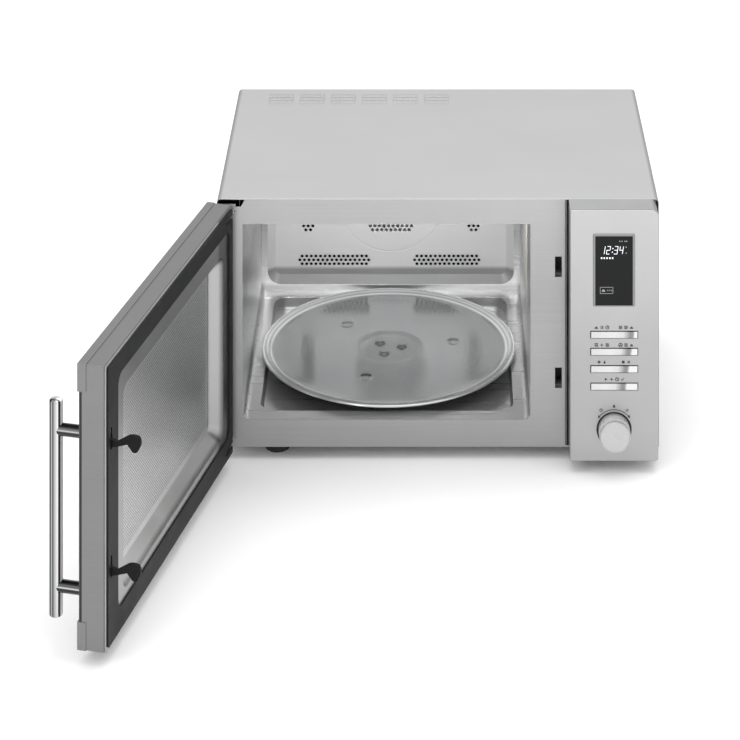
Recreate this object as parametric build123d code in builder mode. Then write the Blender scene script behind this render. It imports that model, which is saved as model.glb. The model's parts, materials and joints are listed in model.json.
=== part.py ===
"""Countertop combination microwave oven with its side-hung door standing open.

Frame: X runs to the right across the front, Y to the rear and Z up, in millimetres. The origin is on
the worktop, midway across the cabinet, in the plane of the cabinet's front frame.
The door is drawn in its closed coordinates and placed, already swung open, by door_face and door_level.
"""

import os
from math import cos, radians, sin

from build123d import *

os.makedirs("parts", exist_ok=True)

# ---------------------------------------------------------------- driving dimensions
CABINET_WIDTH = 520.0
CABINET_DEPTH = 352.0
CABINET_TOP = 306.5
FOOT_HEIGHT = 15.0
SHEET = 1.0
LINER_SHEET = 0.8
COVER_EDGE_RADIUS = 5.0
HALF_WIDTH = CABINET_WIDTH / 2
INSIDE = HALF_WIDTH - SHEET - 0.1

# Cooking cavity, seen from the front
CAVITY_LEFT = -229.7
CAVITY_RIGHT = 109.0
CAVITY_FLOOR = 47.0
CAVITY_TOP = 277.0
CAVITY_BACK = 342.0
CAVITY_CORNER = 8.0
CAVITY_X = (CAVITY_LEFT + CAVITY_RIGHT) / 2
CAVITY_Z = (CAVITY_FLOOR + CAVITY_TOP) / 2

# Turntable
PLATE_DIAMETER = 315.0
PLATE_Y = 172.0
WELL_SIZE = 301.0
WELL_DEPTH = 12.0
WELL_FLOOR = CAVITY_FLOOR - WELL_DEPTH
WHEEL_RADIUS = 6.2
WHEEL_TRACK = 109.0
RUNNING_GAP = 0.3
PLATE_UNDERSIDE = WELL_FLOOR + 2 * WHEEL_RADIUS + 2 * RUNNING_GAP
LUG_DIRECTION = 11.0

# Control panel, to the right of the door
PANEL_LEFT = 154.0
PANEL_RIGHT = 256.5
PANEL_FRONT = -33.0
KEY_X = 205.15
KEY_LENGTH = 54.0
KEY_HEIGHT = 7.4
KEY_LEVELS = (162.1, 142.3, 122.1, 101.8)
KNOB_X = 204.9
KNOB_Z = 51.9
KNOB_RADIUS = 17.7
KNOB_LENGTH = 19.0
DISPLAY = (183.0, 226.7, 196.4, 276.9)

# Door, in closed coordinates
DOOR_LEFT = -260.0
DOOR_RIGHT = 152.5
DOOR_FRONT = -33.0
DOOR_BACK = -0.4
DOOR_ANGLE = 103.75
PIVOT_X = -255.5
PIVOT_Y = -16.5
TRIM_HEIGHT = 28.5
LATCH_X = 140.8
LATCH_LEVELS = (227.0, 96.3)
HANDLE_X = 129.5
HANDLE_Y = -65.0
HANDLE_Z = 144.9
HANDLE_LENGTH = 222.0
POST_SPACING = 161.0


# ---------------------------------------------------------------- shared planes and profiles
def front(y):
    """Upright plane at depth y, facing the front: its own axes are X and Z."""
    return Plane.XZ.offset(-y)


def level(z):
    """Horizontal plane at height z, facing up."""
    return Plane.XY.offset(z)


def side(x):
    """Upright plane at x, facing right: its own axes are Y and Z."""
    return Plane.YZ.offset(x)


def door_point(x, y, z):
    """Where a point given in closed-door coordinates lies once the door has swung open."""
    along = x - PIVOT_X
    inward = y - PIVOT_Y
    swing = radians(DOOR_ANGLE)
    return Vector(
        PIVOT_X + along * cos(swing) + inward * sin(swing),
        PIVOT_Y - along * sin(swing) + inward * cos(swing),
        z,
    )


ALONG_DOOR = Vector(cos(radians(DOOR_ANGLE)), -sin(radians(DOOR_ANGLE)), 0)
OUT_OF_DOOR = Vector(-sin(radians(DOOR_ANGLE)), -cos(radians(DOOR_ANGLE)), 0)


def door_face(y):
    """The plane that is front(y) when the door is closed."""
    return Plane(origin=door_point(0, y, 0), x_dir=ALONG_DOOR, z_dir=OUT_OF_DOOR)


def door_level(z):
    """The plane that is level(z) when the door is closed."""
    return Plane(origin=door_point(0, 0, z), x_dir=ALONG_DOOR, z_dir=(0, 0, 1))


def door_side(x):
    """The plane that is side(x) when the door is closed: its own axes are Y and Z."""
    return Plane(origin=door_point(x, 0, 0), x_dir=-OUT_OF_DOOR, z_dir=ALONG_DOOR)


def span(low_x, high_x, low_y, high_y, radius=0.0, mode=Mode.ADD):
    """Rectangle between two limits on each axis of the sketch, rounded if a radius is given."""
    with Locations(((low_x + high_x) / 2, (low_y + high_y) / 2)):
        if radius > 0:
            RectangleRounded(high_x - low_x, high_y - low_y, radius, mode=mode)
        else:
            Rectangle(high_x - low_x, high_y - low_y, mode=mode)


def staggered(columns, rows, pitch_x, pitch_y, centre):
    """Centres of a block of holes whose every other row is shifted by half a pitch and has one more."""
    points = []
    for row in range(rows):
        count = columns + row % 2
        height = centre[1] + (row - (rows - 1) / 2) * pitch_y
        for column in range(count):
            points.append((centre[0] + (column - (count - 1) / 2) * pitch_x, height))
    return points


def honeycomb(side_count, pitch_x, pitch_y, centre):
    """Centres of a hexagonal field of holes with side_count holes along each side."""
    points = []
    for row in range(1 - side_count, side_count):
        count = 2 * side_count - 1 - abs(row)
        for column in range(count):
            points.append((centre[0] + (column - (count - 1) / 2) * pitch_x, centre[1] + row * pitch_y))
    return points


# ---------------------------------------------------------------- outer cover
LOUVRE_LENGTH = 31.0
LOUVRE_WIDTH = 5.0
LOUVRE_RISE = 1.6
LOUVRE_PITCH = 40.3
LOUVRE_FIRST_X = -202.2
LOUVRE_ROWS = (306.6, 317.1, 327.6)
LOUVRES = [(LOUVRE_FIRST_X + group * LOUVRE_PITCH, row) for group in range(6) for row in LOUVRE_ROWS]
SIDE_VENT_ROWS = 9

with BuildPart() as outer_cover:
    with BuildSketch(front(0)):
        span(-HALF_WIDTH, HALF_WIDTH, FOOT_HEIGHT, CABINET_TOP)
    extrude(amount=-CABINET_DEPTH)
    fillet(outer_cover.edges().filter_by(Axis.Y).group_by(Axis.Z)[-1], COVER_EDGE_RADIUS)
    with BuildSketch(front(0)) as cover_hollow:
        span(-HALF_WIDTH + SHEET, HALF_WIDTH - SHEET, FOOT_HEIGHT - 1, CABINET_TOP - SHEET)
        fillet(cover_hollow.vertices().group_by(Axis.Y)[-1], COVER_EDGE_RADIUS - SHEET)
    extrude(amount=-CABINET_DEPTH, mode=Mode.SUBTRACT)
    # A slot under each louvre, then its raised hood, open at both ends
    with BuildSketch(level(CABINET_TOP)):
        with Locations(*LOUVRES):
            Rectangle(LOUVRE_LENGTH, LOUVRE_WIDTH - 1.6)
    extrude(amount=-2 * SHEET, mode=Mode.SUBTRACT)
    for louvre_x, louvre_y in LOUVRES:
        with BuildSketch(side(louvre_x - LOUVRE_LENGTH / 2)):
            with BuildLine():
                ThreePointArc(
                    (louvre_y - LOUVRE_WIDTH / 2, CABINET_TOP - 0.2),
                    (louvre_y, CABINET_TOP + LOUVRE_RISE),
                    (louvre_y + LOUVRE_WIDTH / 2, CABINET_TOP - 0.2),
                )
                Line(
                    (louvre_y + LOUVRE_WIDTH / 2, CABINET_TOP - 0.2),
                    (louvre_y + LOUVRE_WIDTH / 2 - 0.9, CABINET_TOP - 0.2),
                )
                ThreePointArc(
                    (louvre_y + LOUVRE_WIDTH / 2 - 0.9, CABINET_TOP - 0.2),
                    (louvre_y, CABINET_TOP + LOUVRE_RISE - 0.7),
                    (louvre_y - LOUVRE_WIDTH / 2 + 0.9, CABINET_TOP - 0.2),
                )
                Line(
                    (louvre_y - LOUVRE_WIDTH / 2 + 0.9, CABINET_TOP - 0.2),
                    (louvre_y - LOUVRE_WIDTH / 2, CABINET_TOP - 0.2),
                )
            make_face()
        extrude(amount=LOUVRE_LENGTH)
    # Air slots through the right-hand side, beside the magnetron
    with BuildSketch(side(HALF_WIDTH)):
        with Locations((190, 190)):
            with GridLocations(26, 9, 3, SIDE_VENT_ROWS):
                SlotOverall(20, 3.2)
    extrude(amount=-2 * SHEET, mode=Mode.SUBTRACT)
outer_cover.part.label = "outer_cover"
export_step(outer_cover.part, "parts/outer_cover.step")

# ---------------------------------------------------------------- base plate
FOOT_X = 190.0
FOOT_FRONT_Y = 30.0
FOOT_REAR_Y = 318.0
FOOT_CENTRES = [(x, y) for x in (-FOOT_X, FOOT_X) for y in (FOOT_FRONT_Y, FOOT_REAR_Y)]
BASE_SHEET = 1.2
BASE_TOP = FOOT_HEIGHT + BASE_SHEET

with BuildPart() as base_plate:
    with BuildSketch(level(FOOT_HEIGHT)):
        span(-INSIDE, INSIDE, SHEET, CABINET_DEPTH - SHEET)
    extrude(amount=BASE_SHEET)
    # Upturned flanges along both sides and along the back
    with BuildSketch(level(FOOT_HEIGHT)):
        span(-INSIDE, -INSIDE + SHEET, SHEET + 14, CABINET_DEPTH - SHEET)
        span(INSIDE - SHEET, INSIDE, SHEET + 14, CABINET_DEPTH - SHEET)
        span(-INSIDE, INSIDE, CABINET_DEPTH - 2 * SHEET, CABINET_DEPTH - SHEET)
    extrude(amount=12)
    # Foot screw holes, and air slots under the transformer
    with BuildSketch(level(FOOT_HEIGHT)):
        with Locations(*FOOT_CENTRES):
            Circle(2.2)
        with Locations((205, 80)):
            with GridLocations(9, 34, 6, 2):
                SlotOverall(26, 3.5, rotation=90)
    extrude(amount=2 * BASE_SHEET, mode=Mode.SUBTRACT)
base_plate.part.label = "base_plate"
export_step(base_plate.part, "parts/base_plate.step")

# ---------------------------------------------------------------- feet
with BuildPart() as feet:
    with BuildSketch(level(0)):
        with Locations(*FOOT_CENTRES):
            Circle(14.5)
    extrude(amount=FOOT_HEIGHT, taper=-5)
    fillet(feet.edges().group_by(Axis.Z)[0], 1.5)
    # Screw heads are sunk into a pocket in each foot
    with BuildSketch(level(0)):
        with Locations(*FOOT_CENTRES):
            Circle(4.5)
    extrude(amount=FOOT_HEIGHT - 4, mode=Mode.SUBTRACT)
    with BuildSketch(level(0)):
        with Locations(*FOOT_CENTRES):
            Circle(2.1)
    extrude(amount=FOOT_HEIGHT, mode=Mode.SUBTRACT)
feet.part.label = "feet"
export_step(feet.part, "parts/feet.step")

# ---------------------------------------------------------------- rear panel and the cover of its fan hump
CHAMBER = (CAVITY_X - 130, CAVITY_X + 130, CAVITY_Z - 99, CAVITY_Z + 99)
CHAMBER_DEPTH = 30.0
BACK_PANEL_Y = CAVITY_BACK + 8.2
HUMP = (CHAMBER[0] - 10, CHAMBER[1] + 10, CHAMBER[2] - 8, CHAMBER[3] + 8)
HUMP_BACK = 414.0
COOLING_FAN = (205.0, 200.0)
GLAND = (222.0, 52.0)
CASE_SCREWS = [
    (-244, 40), (-244, 160), (-244, 290), (244, 120), (244, 290),
    (-80, 293), (110, 293), (-120, 30), (60, 30),
]
HUMP_SCREWS = [(x, z) for x in (HUMP[0] + 12, HUMP[1] - 12) for z in (HUMP[2] - 5, HUMP[3] + 5)]

with BuildPart() as rear_panel:
    with BuildSketch(front(CABINET_DEPTH - SHEET)) as rear_face:
        span(-INSIDE, INSIDE, FOOT_HEIGHT, CABINET_TOP - SHEET - 0.1)
        fillet(rear_face.vertices().group_by(Axis.Y)[-1], COVER_EDGE_RADIUS - SHEET)
        span(CHAMBER[0] - 2, CHAMBER[1] + 2, CHAMBER[2] - 2, CHAMBER[3] + 2, mode=Mode.SUBTRACT)
        with Locations(GLAND):
            Circle(8.0, mode=Mode.SUBTRACT)
        with Locations(COOLING_FAN):
            with GridLocations(15, 6.5, 5, 12):
                SlotOverall(12, 3.0, mode=Mode.SUBTRACT)
        with Locations(*CASE_SCREWS, *HUMP_SCREWS):
            Circle(1.6, mode=Mode.SUBTRACT)
    extrude(amount=-SHEET)
rear_panel.part.label = "rear_panel"
export_step(rear_panel.part, "parts/rear_panel.step")

with BuildPart() as rear_fan_cover:
    with BuildSketch(front(CABINET_DEPTH)):
        span(*HUMP, radius=10)
    extrude(amount=-(HUMP_BACK - CABINET_DEPTH), taper=8)
    fillet(rear_fan_cover.faces().sort_by(Axis.Y)[-1].edges(), 2.4)
    with BuildSketch(front(CABINET_DEPTH)):
        span(HUMP[0] + 0.8, HUMP[1] - 0.8, HUMP[2] + 0.8, HUMP[3] - 0.8, radius=9.2)
    extrude(amount=-(HUMP_BACK - CABINET_DEPTH - LINER_SHEET), taper=8, mode=Mode.SUBTRACT)
    with BuildSketch(front(CABINET_DEPTH)):
        for ear_z in (HUMP[2] - 5, HUMP[3] + 5):
            span(HUMP[0] + 4, HUMP[0] + 20, ear_z - 6, ear_z + 6, radius=3)
            span(HUMP[1] - 20, HUMP[1] - 4, ear_z - 6, ear_z + 6, radius=3)
        span(HUMP[0] + 1, HUMP[1] - 1, HUMP[2] + 1, HUMP[3] - 1, mode=Mode.SUBTRACT)
        with Locations(*HUMP_SCREWS):
            Circle(1.6, mode=Mode.SUBTRACT)
    extrude(amount=-LINER_SHEET)
    # Rows of air slots across the back of the hump
    with BuildSketch(front(HUMP_BACK)):
        with Locations((CAVITY_X, CAVITY_Z)):
            with GridLocations(46, 12, 4, 9):
                SlotOverall(38, 3.5)
    extrude(amount=2, both=True, mode=Mode.SUBTRACT)
rear_fan_cover.part.label = "rear_fan_cover"
export_step(rear_fan_cover.part, "parts/rear_fan_cover.step")

with BuildPart() as case_screws:
    for seat_y, centres in ((CABINET_DEPTH, CASE_SCREWS), (CABINET_DEPTH + LINER_SHEET, HUMP_SCREWS)):
        with BuildSketch(front(seat_y)):
            with Locations(*centres):
                Circle(3.6)
        extrude(amount=-2.0)
        with BuildSketch(front(seat_y)):
            with Locations(*centres):
                Circle(1.5)
        extrude(amount=5.0)
    # Foot screws, up through each foot into the base plate
    for low_z, high_z, radius in (
        (FOOT_HEIGHT - 7, FOOT_HEIGHT - 4, 4.0), (FOOT_HEIGHT - 4, BASE_TOP, 2.0),
    ):
        with BuildSketch(level(low_z)):
            with Locations(*FOOT_CENTRES):
                Circle(radius)
        extrude(amount=high_z - low_z)
case_screws.part.label = "case_screws"
export_step(case_screws.part, "parts/case_screws.step")

with BuildPart() as cord_gland:
    with BuildSketch(front(CABINET_DEPTH)):
        with Locations(GLAND):
            Circle(11.0)
    extrude(amount=-5, taper=12)
    with BuildSketch(front(CABINET_DEPTH)):
        with Locations(GLAND):
            Circle(7.9)
    extrude(amount=SHEET)
    with BuildSketch(front(CABINET_DEPTH - SHEET)):
        with Locations(GLAND):
            Circle(9.5)
    extrude(amount=3)
    with BuildSketch(front(CABINET_DEPTH + 6)):
        with Locations(GLAND):
            Circle(3.8)
    extrude(amount=12, mode=Mode.SUBTRACT)
cord_gland.part.label = "cord_gland"
export_step(cord_gland.part, "parts/cord_gland.step")

# ---------------------------------------------------------------- front frame
FRAME_RIGHT = 149.6
LATCH_SLOT_WIDTH = 8.1
LATCH_SLOT_HEIGHT = 24.0
LATCH_SLOT_X = 141.85
LATCH_SLOT_LEVELS = (226.8, 96.2)
HINGE_LEVELS = (293.5, 27.5)
HINGE_LUG_THICKNESS = 3.0
HINGE_PLATES = ((270.0, 300.0), (17.5, 47.0))
NOTCH_RIGHT = -231.6
NOTCH_TOP_RIGHT = -226.6
NOTCH_HEIGHT = 8.0

with BuildPart() as front_frame:
    with BuildSketch(front(0)) as frame_face:
        span(-INSIDE, FRAME_RIGHT, FOOT_HEIGHT, CABINET_TOP - SHEET - 0.1)
        # Oven mouth: its bottom corners are rounder than its top corners
        with BuildSketch(mode=Mode.SUBTRACT) as mouth:
            span(CAVITY_LEFT, CAVITY_RIGHT, CAVITY_FLOOR, CAVITY_TOP)
            fillet(mouth.vertices().group_by(Axis.Y)[0], CAVITY_CORNER)
            fillet(mouth.vertices().group_by(Axis.Y)[-1], 1.5)
        for slot_z in LATCH_SLOT_LEVELS:
            with Locations((LATCH_SLOT_X, slot_z)):
                Rectangle(LATCH_SLOT_WIDTH, LATCH_SLOT_HEIGHT, mode=Mode.SUBTRACT)
        # Notch above the upper hinge lug, and the slot that each lug comes through
        with BuildSketch(mode=Mode.SUBTRACT):
            with BuildLine():
                Polyline(
                    (-INSIDE, CABINET_TOP),
                    (-INSIDE, CABINET_TOP - SHEET - NOTCH_HEIGHT),
                    (NOTCH_RIGHT, CABINET_TOP - SHEET - NOTCH_HEIGHT),
                    (NOTCH_TOP_RIGHT, CABINET_TOP),
                    close=True,
                )
            make_face()
        for lug_z in HINGE_LEVELS:
            span(-INSIDE, -238.0, lug_z - 2.0, lug_z + 2.0, mode=Mode.SUBTRACT)
    extrude(amount=-SHEET)
    # The right-hand edge is bent back at a slant, then straight back beside the control panel
    with BuildSketch(level(FOOT_HEIGHT + BASE_SHEET)):
        with BuildLine():
            Polyline(
                (FRAME_RIGHT - 0.6, 0.4),
                (FRAME_RIGHT + 2.6, 4.0),
                (FRAME_RIGHT + 2.6, 16.0),
                (FRAME_RIGHT + 1.6, 16.0),
                (FRAME_RIGHT + 1.6, 4.4),
                (FRAME_RIGHT - 1.6, 0.8),
                close=True,
            )
        make_face()
    extrude(amount=CABINET_TOP - SHEET - 0.1 - FOOT_HEIGHT - BASE_SHEET)
    # Return flange inside the top of the cover
    with BuildSketch(front(SHEET)):
        span(NOTCH_TOP_RIGHT + 4, FRAME_RIGHT - 4, CABINET_TOP - 2 * SHEET - 0.1, CABINET_TOP - SHEET - 0.1)
    extrude(amount=-12)
front_frame.part.label = "front_frame"
export_step(front_frame.part, "parts/front_frame.step")

# ---------------------------------------------------------------- cavity liner
LINER_FLANGE = 7.0
RECESS = (CAVITY_LEFT + 8.4, CAVITY_RIGHT - 8.4, CAVITY_FLOOR + 7.8, CAVITY_TOP - 7.8)
RECESS_CORNER = 17.0
WAVEGUIDE_MOUTH = (122.0, 226.0, 142.0, 232.0)
LAMP_HOLES = (50.0, 230.0)
INTAKE_HOLES = (268.0, 158.0)
VENT_RADIUS = 1.6
SHAFT_HOLE = 8.0
GRILL_FEET = [(CAVITY_X + x, y) for x in (-78, 78) for y in (66, 286)]

with BuildPart() as cavity_liner:
    with BuildSketch(front(SHEET)) as liner_outside:
        span(
            CAVITY_LEFT - LINER_SHEET, CAVITY_RIGHT + LINER_SHEET,
            CAVITY_FLOOR - LINER_SHEET, CAVITY_TOP + LINER_SHEET,
        )
        fillet(liner_outside.vertices().group_by(Axis.Y)[0], CAVITY_CORNER + LINER_SHEET)
        fillet(liner_outside.vertices().group_by(Axis.Y)[-1], 2.0 + LINER_SHEET)
    extrude(amount=-(CAVITY_BACK - SHEET + LINER_SHEET))
    # The well in the floor is pressed down below the liner
    with BuildSketch(level(CAVITY_FLOOR - LINER_SHEET)):
        with Locations((CAVITY_X, PLATE_Y)):
            RectangleRounded(WELL_SIZE + 2 * LINER_SHEET, WELL_SIZE + 2 * LINER_SHEET, 20 + LINER_SHEET)
    extrude(amount=-WELL_DEPTH, taper=12)
    with BuildSketch(front(SHEET)) as flange_face:
        span(
            CAVITY_LEFT - LINER_FLANGE, CAVITY_RIGHT + LINER_FLANGE,
            CAVITY_FLOOR - LINER_FLANGE, CAVITY_TOP + LINER_FLANGE,
        )
    extrude(amount=-LINER_SHEET)
    with BuildSketch(front(SHEET)) as liner_inside:
        span(CAVITY_LEFT, CAVITY_RIGHT, CAVITY_FLOOR, CAVITY_TOP)
        fillet(liner_inside.vertices().group_by(Axis.Y)[0], CAVITY_CORNER)
        fillet(liner_inside.vertices().group_by(Axis.Y)[-1], 2.0)
    extrude(amount=-(CAVITY_BACK - SHEET), mode=Mode.SUBTRACT)
    with BuildSketch(level(CAVITY_FLOOR)):
        with Locations((CAVITY_X, PLATE_Y)):
            RectangleRounded(WELL_SIZE, WELL_SIZE, 20)
    extrude(amount=-WELL_DEPTH, taper=12, mode=Mode.SUBTRACT)
    # Opening for the recessed back panel
    with BuildSketch(front(CAVITY_BACK - 1)):
        span(*RECESS, radius=RECESS_CORNER)
    extrude(amount=-3, mode=Mode.SUBTRACT)
    # Turntable shaft hole
    with BuildSketch(level(WELL_FLOOR + 1)):
        with Locations((CAVITY_X, PLATE_Y)):
            Circle(SHAFT_HOLE)
    extrude(amount=-3, mode=Mode.SUBTRACT)
    # Right wall: waveguide mouth, lamp holes near the front and air intake holes at the back
    with BuildSketch(side(CAVITY_RIGHT - 1)):
        span(*WAVEGUIDE_MOUTH)
        with Locations(LAMP_HOLES):
            with GridLocations(6, 6, 8, 9):
                Circle(VENT_RADIUS)
        with Locations(INTAKE_HOLES):
            with GridLocations(6, 6, 7, 20):
                Circle(VENT_RADIUS)
    extrude(amount=3, mode=Mode.SUBTRACT)
    # Ceiling holes for the feet of the grill element
    with BuildSketch(level(CAVITY_TOP - 1)):
        with Locations(*GRILL_FEET):
            Circle(4.2)
    extrude(amount=3, mode=Mode.SUBTRACT)
cavity_liner.part.label = "cavity_liner"
export_step(cavity_liner.part, "parts/cavity_liner.step")

# ---------------------------------------------------------------- perforated back panel
HOLE_RADIUS = 1.95
HOLE_PITCH = 6.02
ROW_PITCH = 5.05
PANEL_INSET = 9.5
EMBOSS_RADIUS = 69.0
LOWER_ROWS_Z = 83.1 - CAVITY_Z
BACK_CENTRE = (CAVITY_X, CAVITY_Z + 1)


def back_hole_centres():
    """All holes of the back panel: intake in the middle, outlets in rows and columns around it."""
    centres = honeycomb(9, HOLE_PITCH, ROW_PITCH, BACK_CENTRE)
    for sign in (-1, 1):
        row_z = CAVITY_Z + sign * LOWER_ROWS_Z
        centres += staggered(15, 3, HOLE_PITCH, ROW_PITCH, (CAVITY_X - 74.3, row_z))
        centres += staggered(14, 3, HOLE_PITCH, ROW_PITCH, (CAVITY_X + 73.3, row_z))
        centres += staggered(2, 17, HOLE_PITCH, ROW_PITCH, (CAVITY_X + sign * 108.5, BACK_CENTRE[1]))
    return centres


with BuildPart() as cavity_back_panel:
    # Flange behind the liner's rear lip, then a dished pan that opens into the cavity
    with BuildSketch(front(CAVITY_BACK + LINER_SHEET)):
        span(RECESS[0] - 6, RECESS[1] + 6, RECESS[2] - 5, RECESS[3] + 5, radius=12)
    extrude(amount=-LINER_SHEET)
    with BuildSketch(front(CAVITY_BACK + LINER_SHEET)):
        span(RECESS[0] - 0.6, RECESS[1] + 0.6, RECESS[2] - 0.6, RECESS[3] + 0.6, radius=RECESS_CORNER)
    with BuildSketch(front(BACK_PANEL_Y + LINER_SHEET)):
        span(
            RECESS[0] + PANEL_INSET - 0.6, RECESS[1] - PANEL_INSET + 0.6,
            RECESS[2] + PANEL_INSET - 0.6, RECESS[3] - PANEL_INSET + 0.6, radius=8.6,
        )
    loft()
    with BuildSketch(front(CAVITY_BACK + LINER_SHEET)):
        span(RECESS[0] + 0.4, RECESS[1] - 0.4, RECESS[2] + 0.4, RECESS[3] - 0.4, radius=RECESS_CORNER - 1)
    with BuildSketch(front(BACK_PANEL_Y)):
        span(
            RECESS[0] + PANEL_INSET, RECESS[1] - PANEL_INSET,
            RECESS[2] + PANEL_INSET, RECESS[3] - PANEL_INSET, radius=8,
        )
    loft(mode=Mode.SUBTRACT)
    # Round emboss in front of the fan: a shallow step outlines it
    with BuildSketch(front(BACK_PANEL_Y)):
        with Locations(BACK_CENTRE):
            Circle(EMBOSS_RADIUS)
            Circle(EMBOSS_RADIUS - 0.9, mode=Mode.SUBTRACT)
    extrude(amount=-0.3, mode=Mode.SUBTRACT)
    with BuildSketch(front(BACK_PANEL_Y - 1)):
        with Locations(*back_hole_centres()):
            Circle(HOLE_RADIUS)
    extrude(amount=-3, mode=Mode.SUBTRACT)
cavity_back_panel.part.label = "cavity_back_panel"
export_step(cavity_back_panel.part, "parts/cavity_back_panel.step")

# ---------------------------------------------------------------- microwave feed
MICA = (107.0, 241.0, 134.0, 240.0)
WAVEGUIDE_OUT = CAVITY_RIGHT + LINER_SHEET + 36.0

with BuildPart() as waveguide_cover:
    with BuildSketch(side(CAVITY_RIGHT - 0.6)):
        span(*MICA, radius=3)
    extrude(amount=0.5)
waveguide_cover.part.label = "waveguide_cover"
export_step(waveguide_cover.part, "parts/waveguide_cover.step")

with BuildPart() as waveguide:
    with BuildSketch(side(CAVITY_RIGHT + LINER_SHEET)):
        span(WAVEGUIDE_MOUTH[0] - 3, WAVEGUIDE_MOUTH[1] + 3, WAVEGUIDE_MOUTH[2] - 3, WAVEGUIDE_MOUTH[3] + 3)
    extrude(amount=36)
    with BuildSketch(side(CAVITY_RIGHT + LINER_SHEET)):
        span(WAVEGUIDE_MOUTH[0] - 2, WAVEGUIDE_MOUTH[1] + 2, WAVEGUIDE_MOUTH[2] - 2, WAVEGUIDE_MOUTH[3] + 2)
    extrude(amount=36 - SHEET, mode=Mode.SUBTRACT)
    with BuildSketch(side(CAVITY_RIGHT + LINER_SHEET)):
        span(WAVEGUIDE_MOUTH[0] - 10, WAVEGUIDE_MOUTH[1] + 10, WAVEGUIDE_MOUTH[2] - 3, WAVEGUIDE_MOUTH[3] + 3)
        span(*WAVEGUIDE_MOUTH, mode=Mode.SUBTRACT)
    extrude(amount=SHEET)
    # The magnetron's antenna enters here
    with BuildSketch(side(WAVEGUIDE_OUT - 2)):
        with Locations((174, 188)):
            Circle(11)
    extrude(amount=4, mode=Mode.SUBTRACT)
waveguide.part.label = "waveguide"
export_step(waveguide.part, "parts/waveguide.step")

MAGNETRON = (174.0, 188.0)
YOKE_LEFT = WAVEGUIDE_OUT + 4.0
YOKE_RIGHT = 236.0
FIN_COUNT = 9
FIN_PITCH = 8.6

with BuildPart() as magnetron:
    # Antenna dome and its ceramic neck
    with BuildSketch(side(WAVEGUIDE_OUT - 18)):
        with Locations(MAGNETRON):
            Circle(7.5)
    extrude(amount=18 + 4)
    fillet(magnetron.faces().sort_by(Axis.X)[0].edges(), 3)
    with BuildSketch(side(WAVEGUIDE_OUT)):
        with Locations(MAGNETRON):
            Circle(14)
    extrude(amount=4)
    # Anode core
    with BuildSketch(side(YOKE_LEFT)):
        with Locations(MAGNETRON):
            Circle(19)
    extrude(amount=YOKE_RIGHT - YOKE_LEFT)
    # Yoke: a four-sided steel frame around the fins
    with BuildSketch(level(MAGNETRON[1] - 36)):
        span(YOKE_LEFT, YOKE_RIGHT, MAGNETRON[0] - 46, MAGNETRON[0] + 46)
    extrude(amount=72)
    with BuildSketch(front(MAGNETRON[0] - 50)):
        span(YOKE_LEFT + 1.6, YOKE_RIGHT - 1.6, MAGNETRON[1] - 34.4, MAGNETRON[1] + 34.4)
    extrude(amount=-100, mode=Mode.SUBTRACT)
    with BuildSketch(side(YOKE_LEFT)):
        with Locations(MAGNETRON):
            Circle(19)
    extrude(amount=YOKE_RIGHT - YOKE_LEFT)
    # Filter box
    with BuildSketch(side(YOKE_RIGHT)):
        with Locations(MAGNETRON):
            Rectangle(56, 46)
    extrude(amount=18)
    # Cooling fins pressed onto the core
    for fin in range(FIN_COUNT):
        with BuildSketch(side(YOKE_LEFT + 8 + fin * FIN_PITCH)):
            with Locations(MAGNETRON):
                Rectangle(84, 72)
        extrude(amount=0.8)
magnetron.part.label = "magnetron"
export_step(magnetron.part, "parts/magnetron.step")


# ---------------------------------------------------------------- power supply in the right-hand bay
TRANSFORMER = (203.0, 288.0)
CAPACITOR = (176.0, 82.0)

with BuildPart() as transformer_core:
    with BuildSketch(level(BASE_TOP)):
        with Locations(TRANSFORMER):
            Rectangle(92, 108)
    extrude(amount=2)
    with BuildSketch(level(BASE_TOP + 2)):
        with Locations(TRANSFORMER):
            Rectangle(90, 56)
    extrude(amount=76)
    # Two windows through the laminations, which hold the windings
    with BuildSketch(front(TRANSFORMER[1] - 40)):
        with Locations((TRANSFORMER[0] - 22, BASE_TOP + 40), (TRANSFORMER[0] + 22, BASE_TOP + 40)):
            Rectangle(15, 46)
    extrude(amount=-80, mode=Mode.SUBTRACT)
transformer_core.part.label = "transformer_core"
export_step(transformer_core.part, "parts/transformer_core.step")

with BuildPart() as transformer_windings:
    for winding_z, winding_height in ((BASE_TOP + 17.5, 18), (BASE_TOP + 38.5, 24)):
        with BuildSketch(level(winding_z)):
            with Locations(TRANSFORMER):
                RectangleRounded(58.6, 90, 12)
                Rectangle(29.4, 56.4, mode=Mode.SUBTRACT)
        extrude(amount=winding_height)
transformer_windings.part.label = "transformer_windings"
export_step(transformer_windings.part, "parts/transformer_windings.step")

with BuildPart() as capacitor:
    with BuildSketch(level(BASE_TOP)):
        with Locations(CAPACITOR):
            SlotOverall(52, 34)
    extrude(amount=84)
    fillet(capacitor.faces().sort_by(Axis.Z)[-1].edges(), 2)
    with BuildSketch(level(BASE_TOP + 84)):
        with Locations((CAPACITOR[0] - 12, CAPACITOR[1]), (CAPACITOR[0] + 12, CAPACITOR[1])):
            Circle(5)
    extrude(amount=5)
    with BuildSketch(level(BASE_TOP + 89)):
        with Locations((CAPACITOR[0] - 12, CAPACITOR[1]), (CAPACITOR[0] + 12, CAPACITOR[1])):
            Rectangle(0.8, 6.3)
    extrude(amount=9)
capacitor.part.label = "capacitor"
export_step(capacitor.part, "parts/capacitor.step")

# ---------------------------------------------------------------- cooling fan against the rear panel
FAN_RADIUS = 46.0
FAN_Y = 334.0

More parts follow.
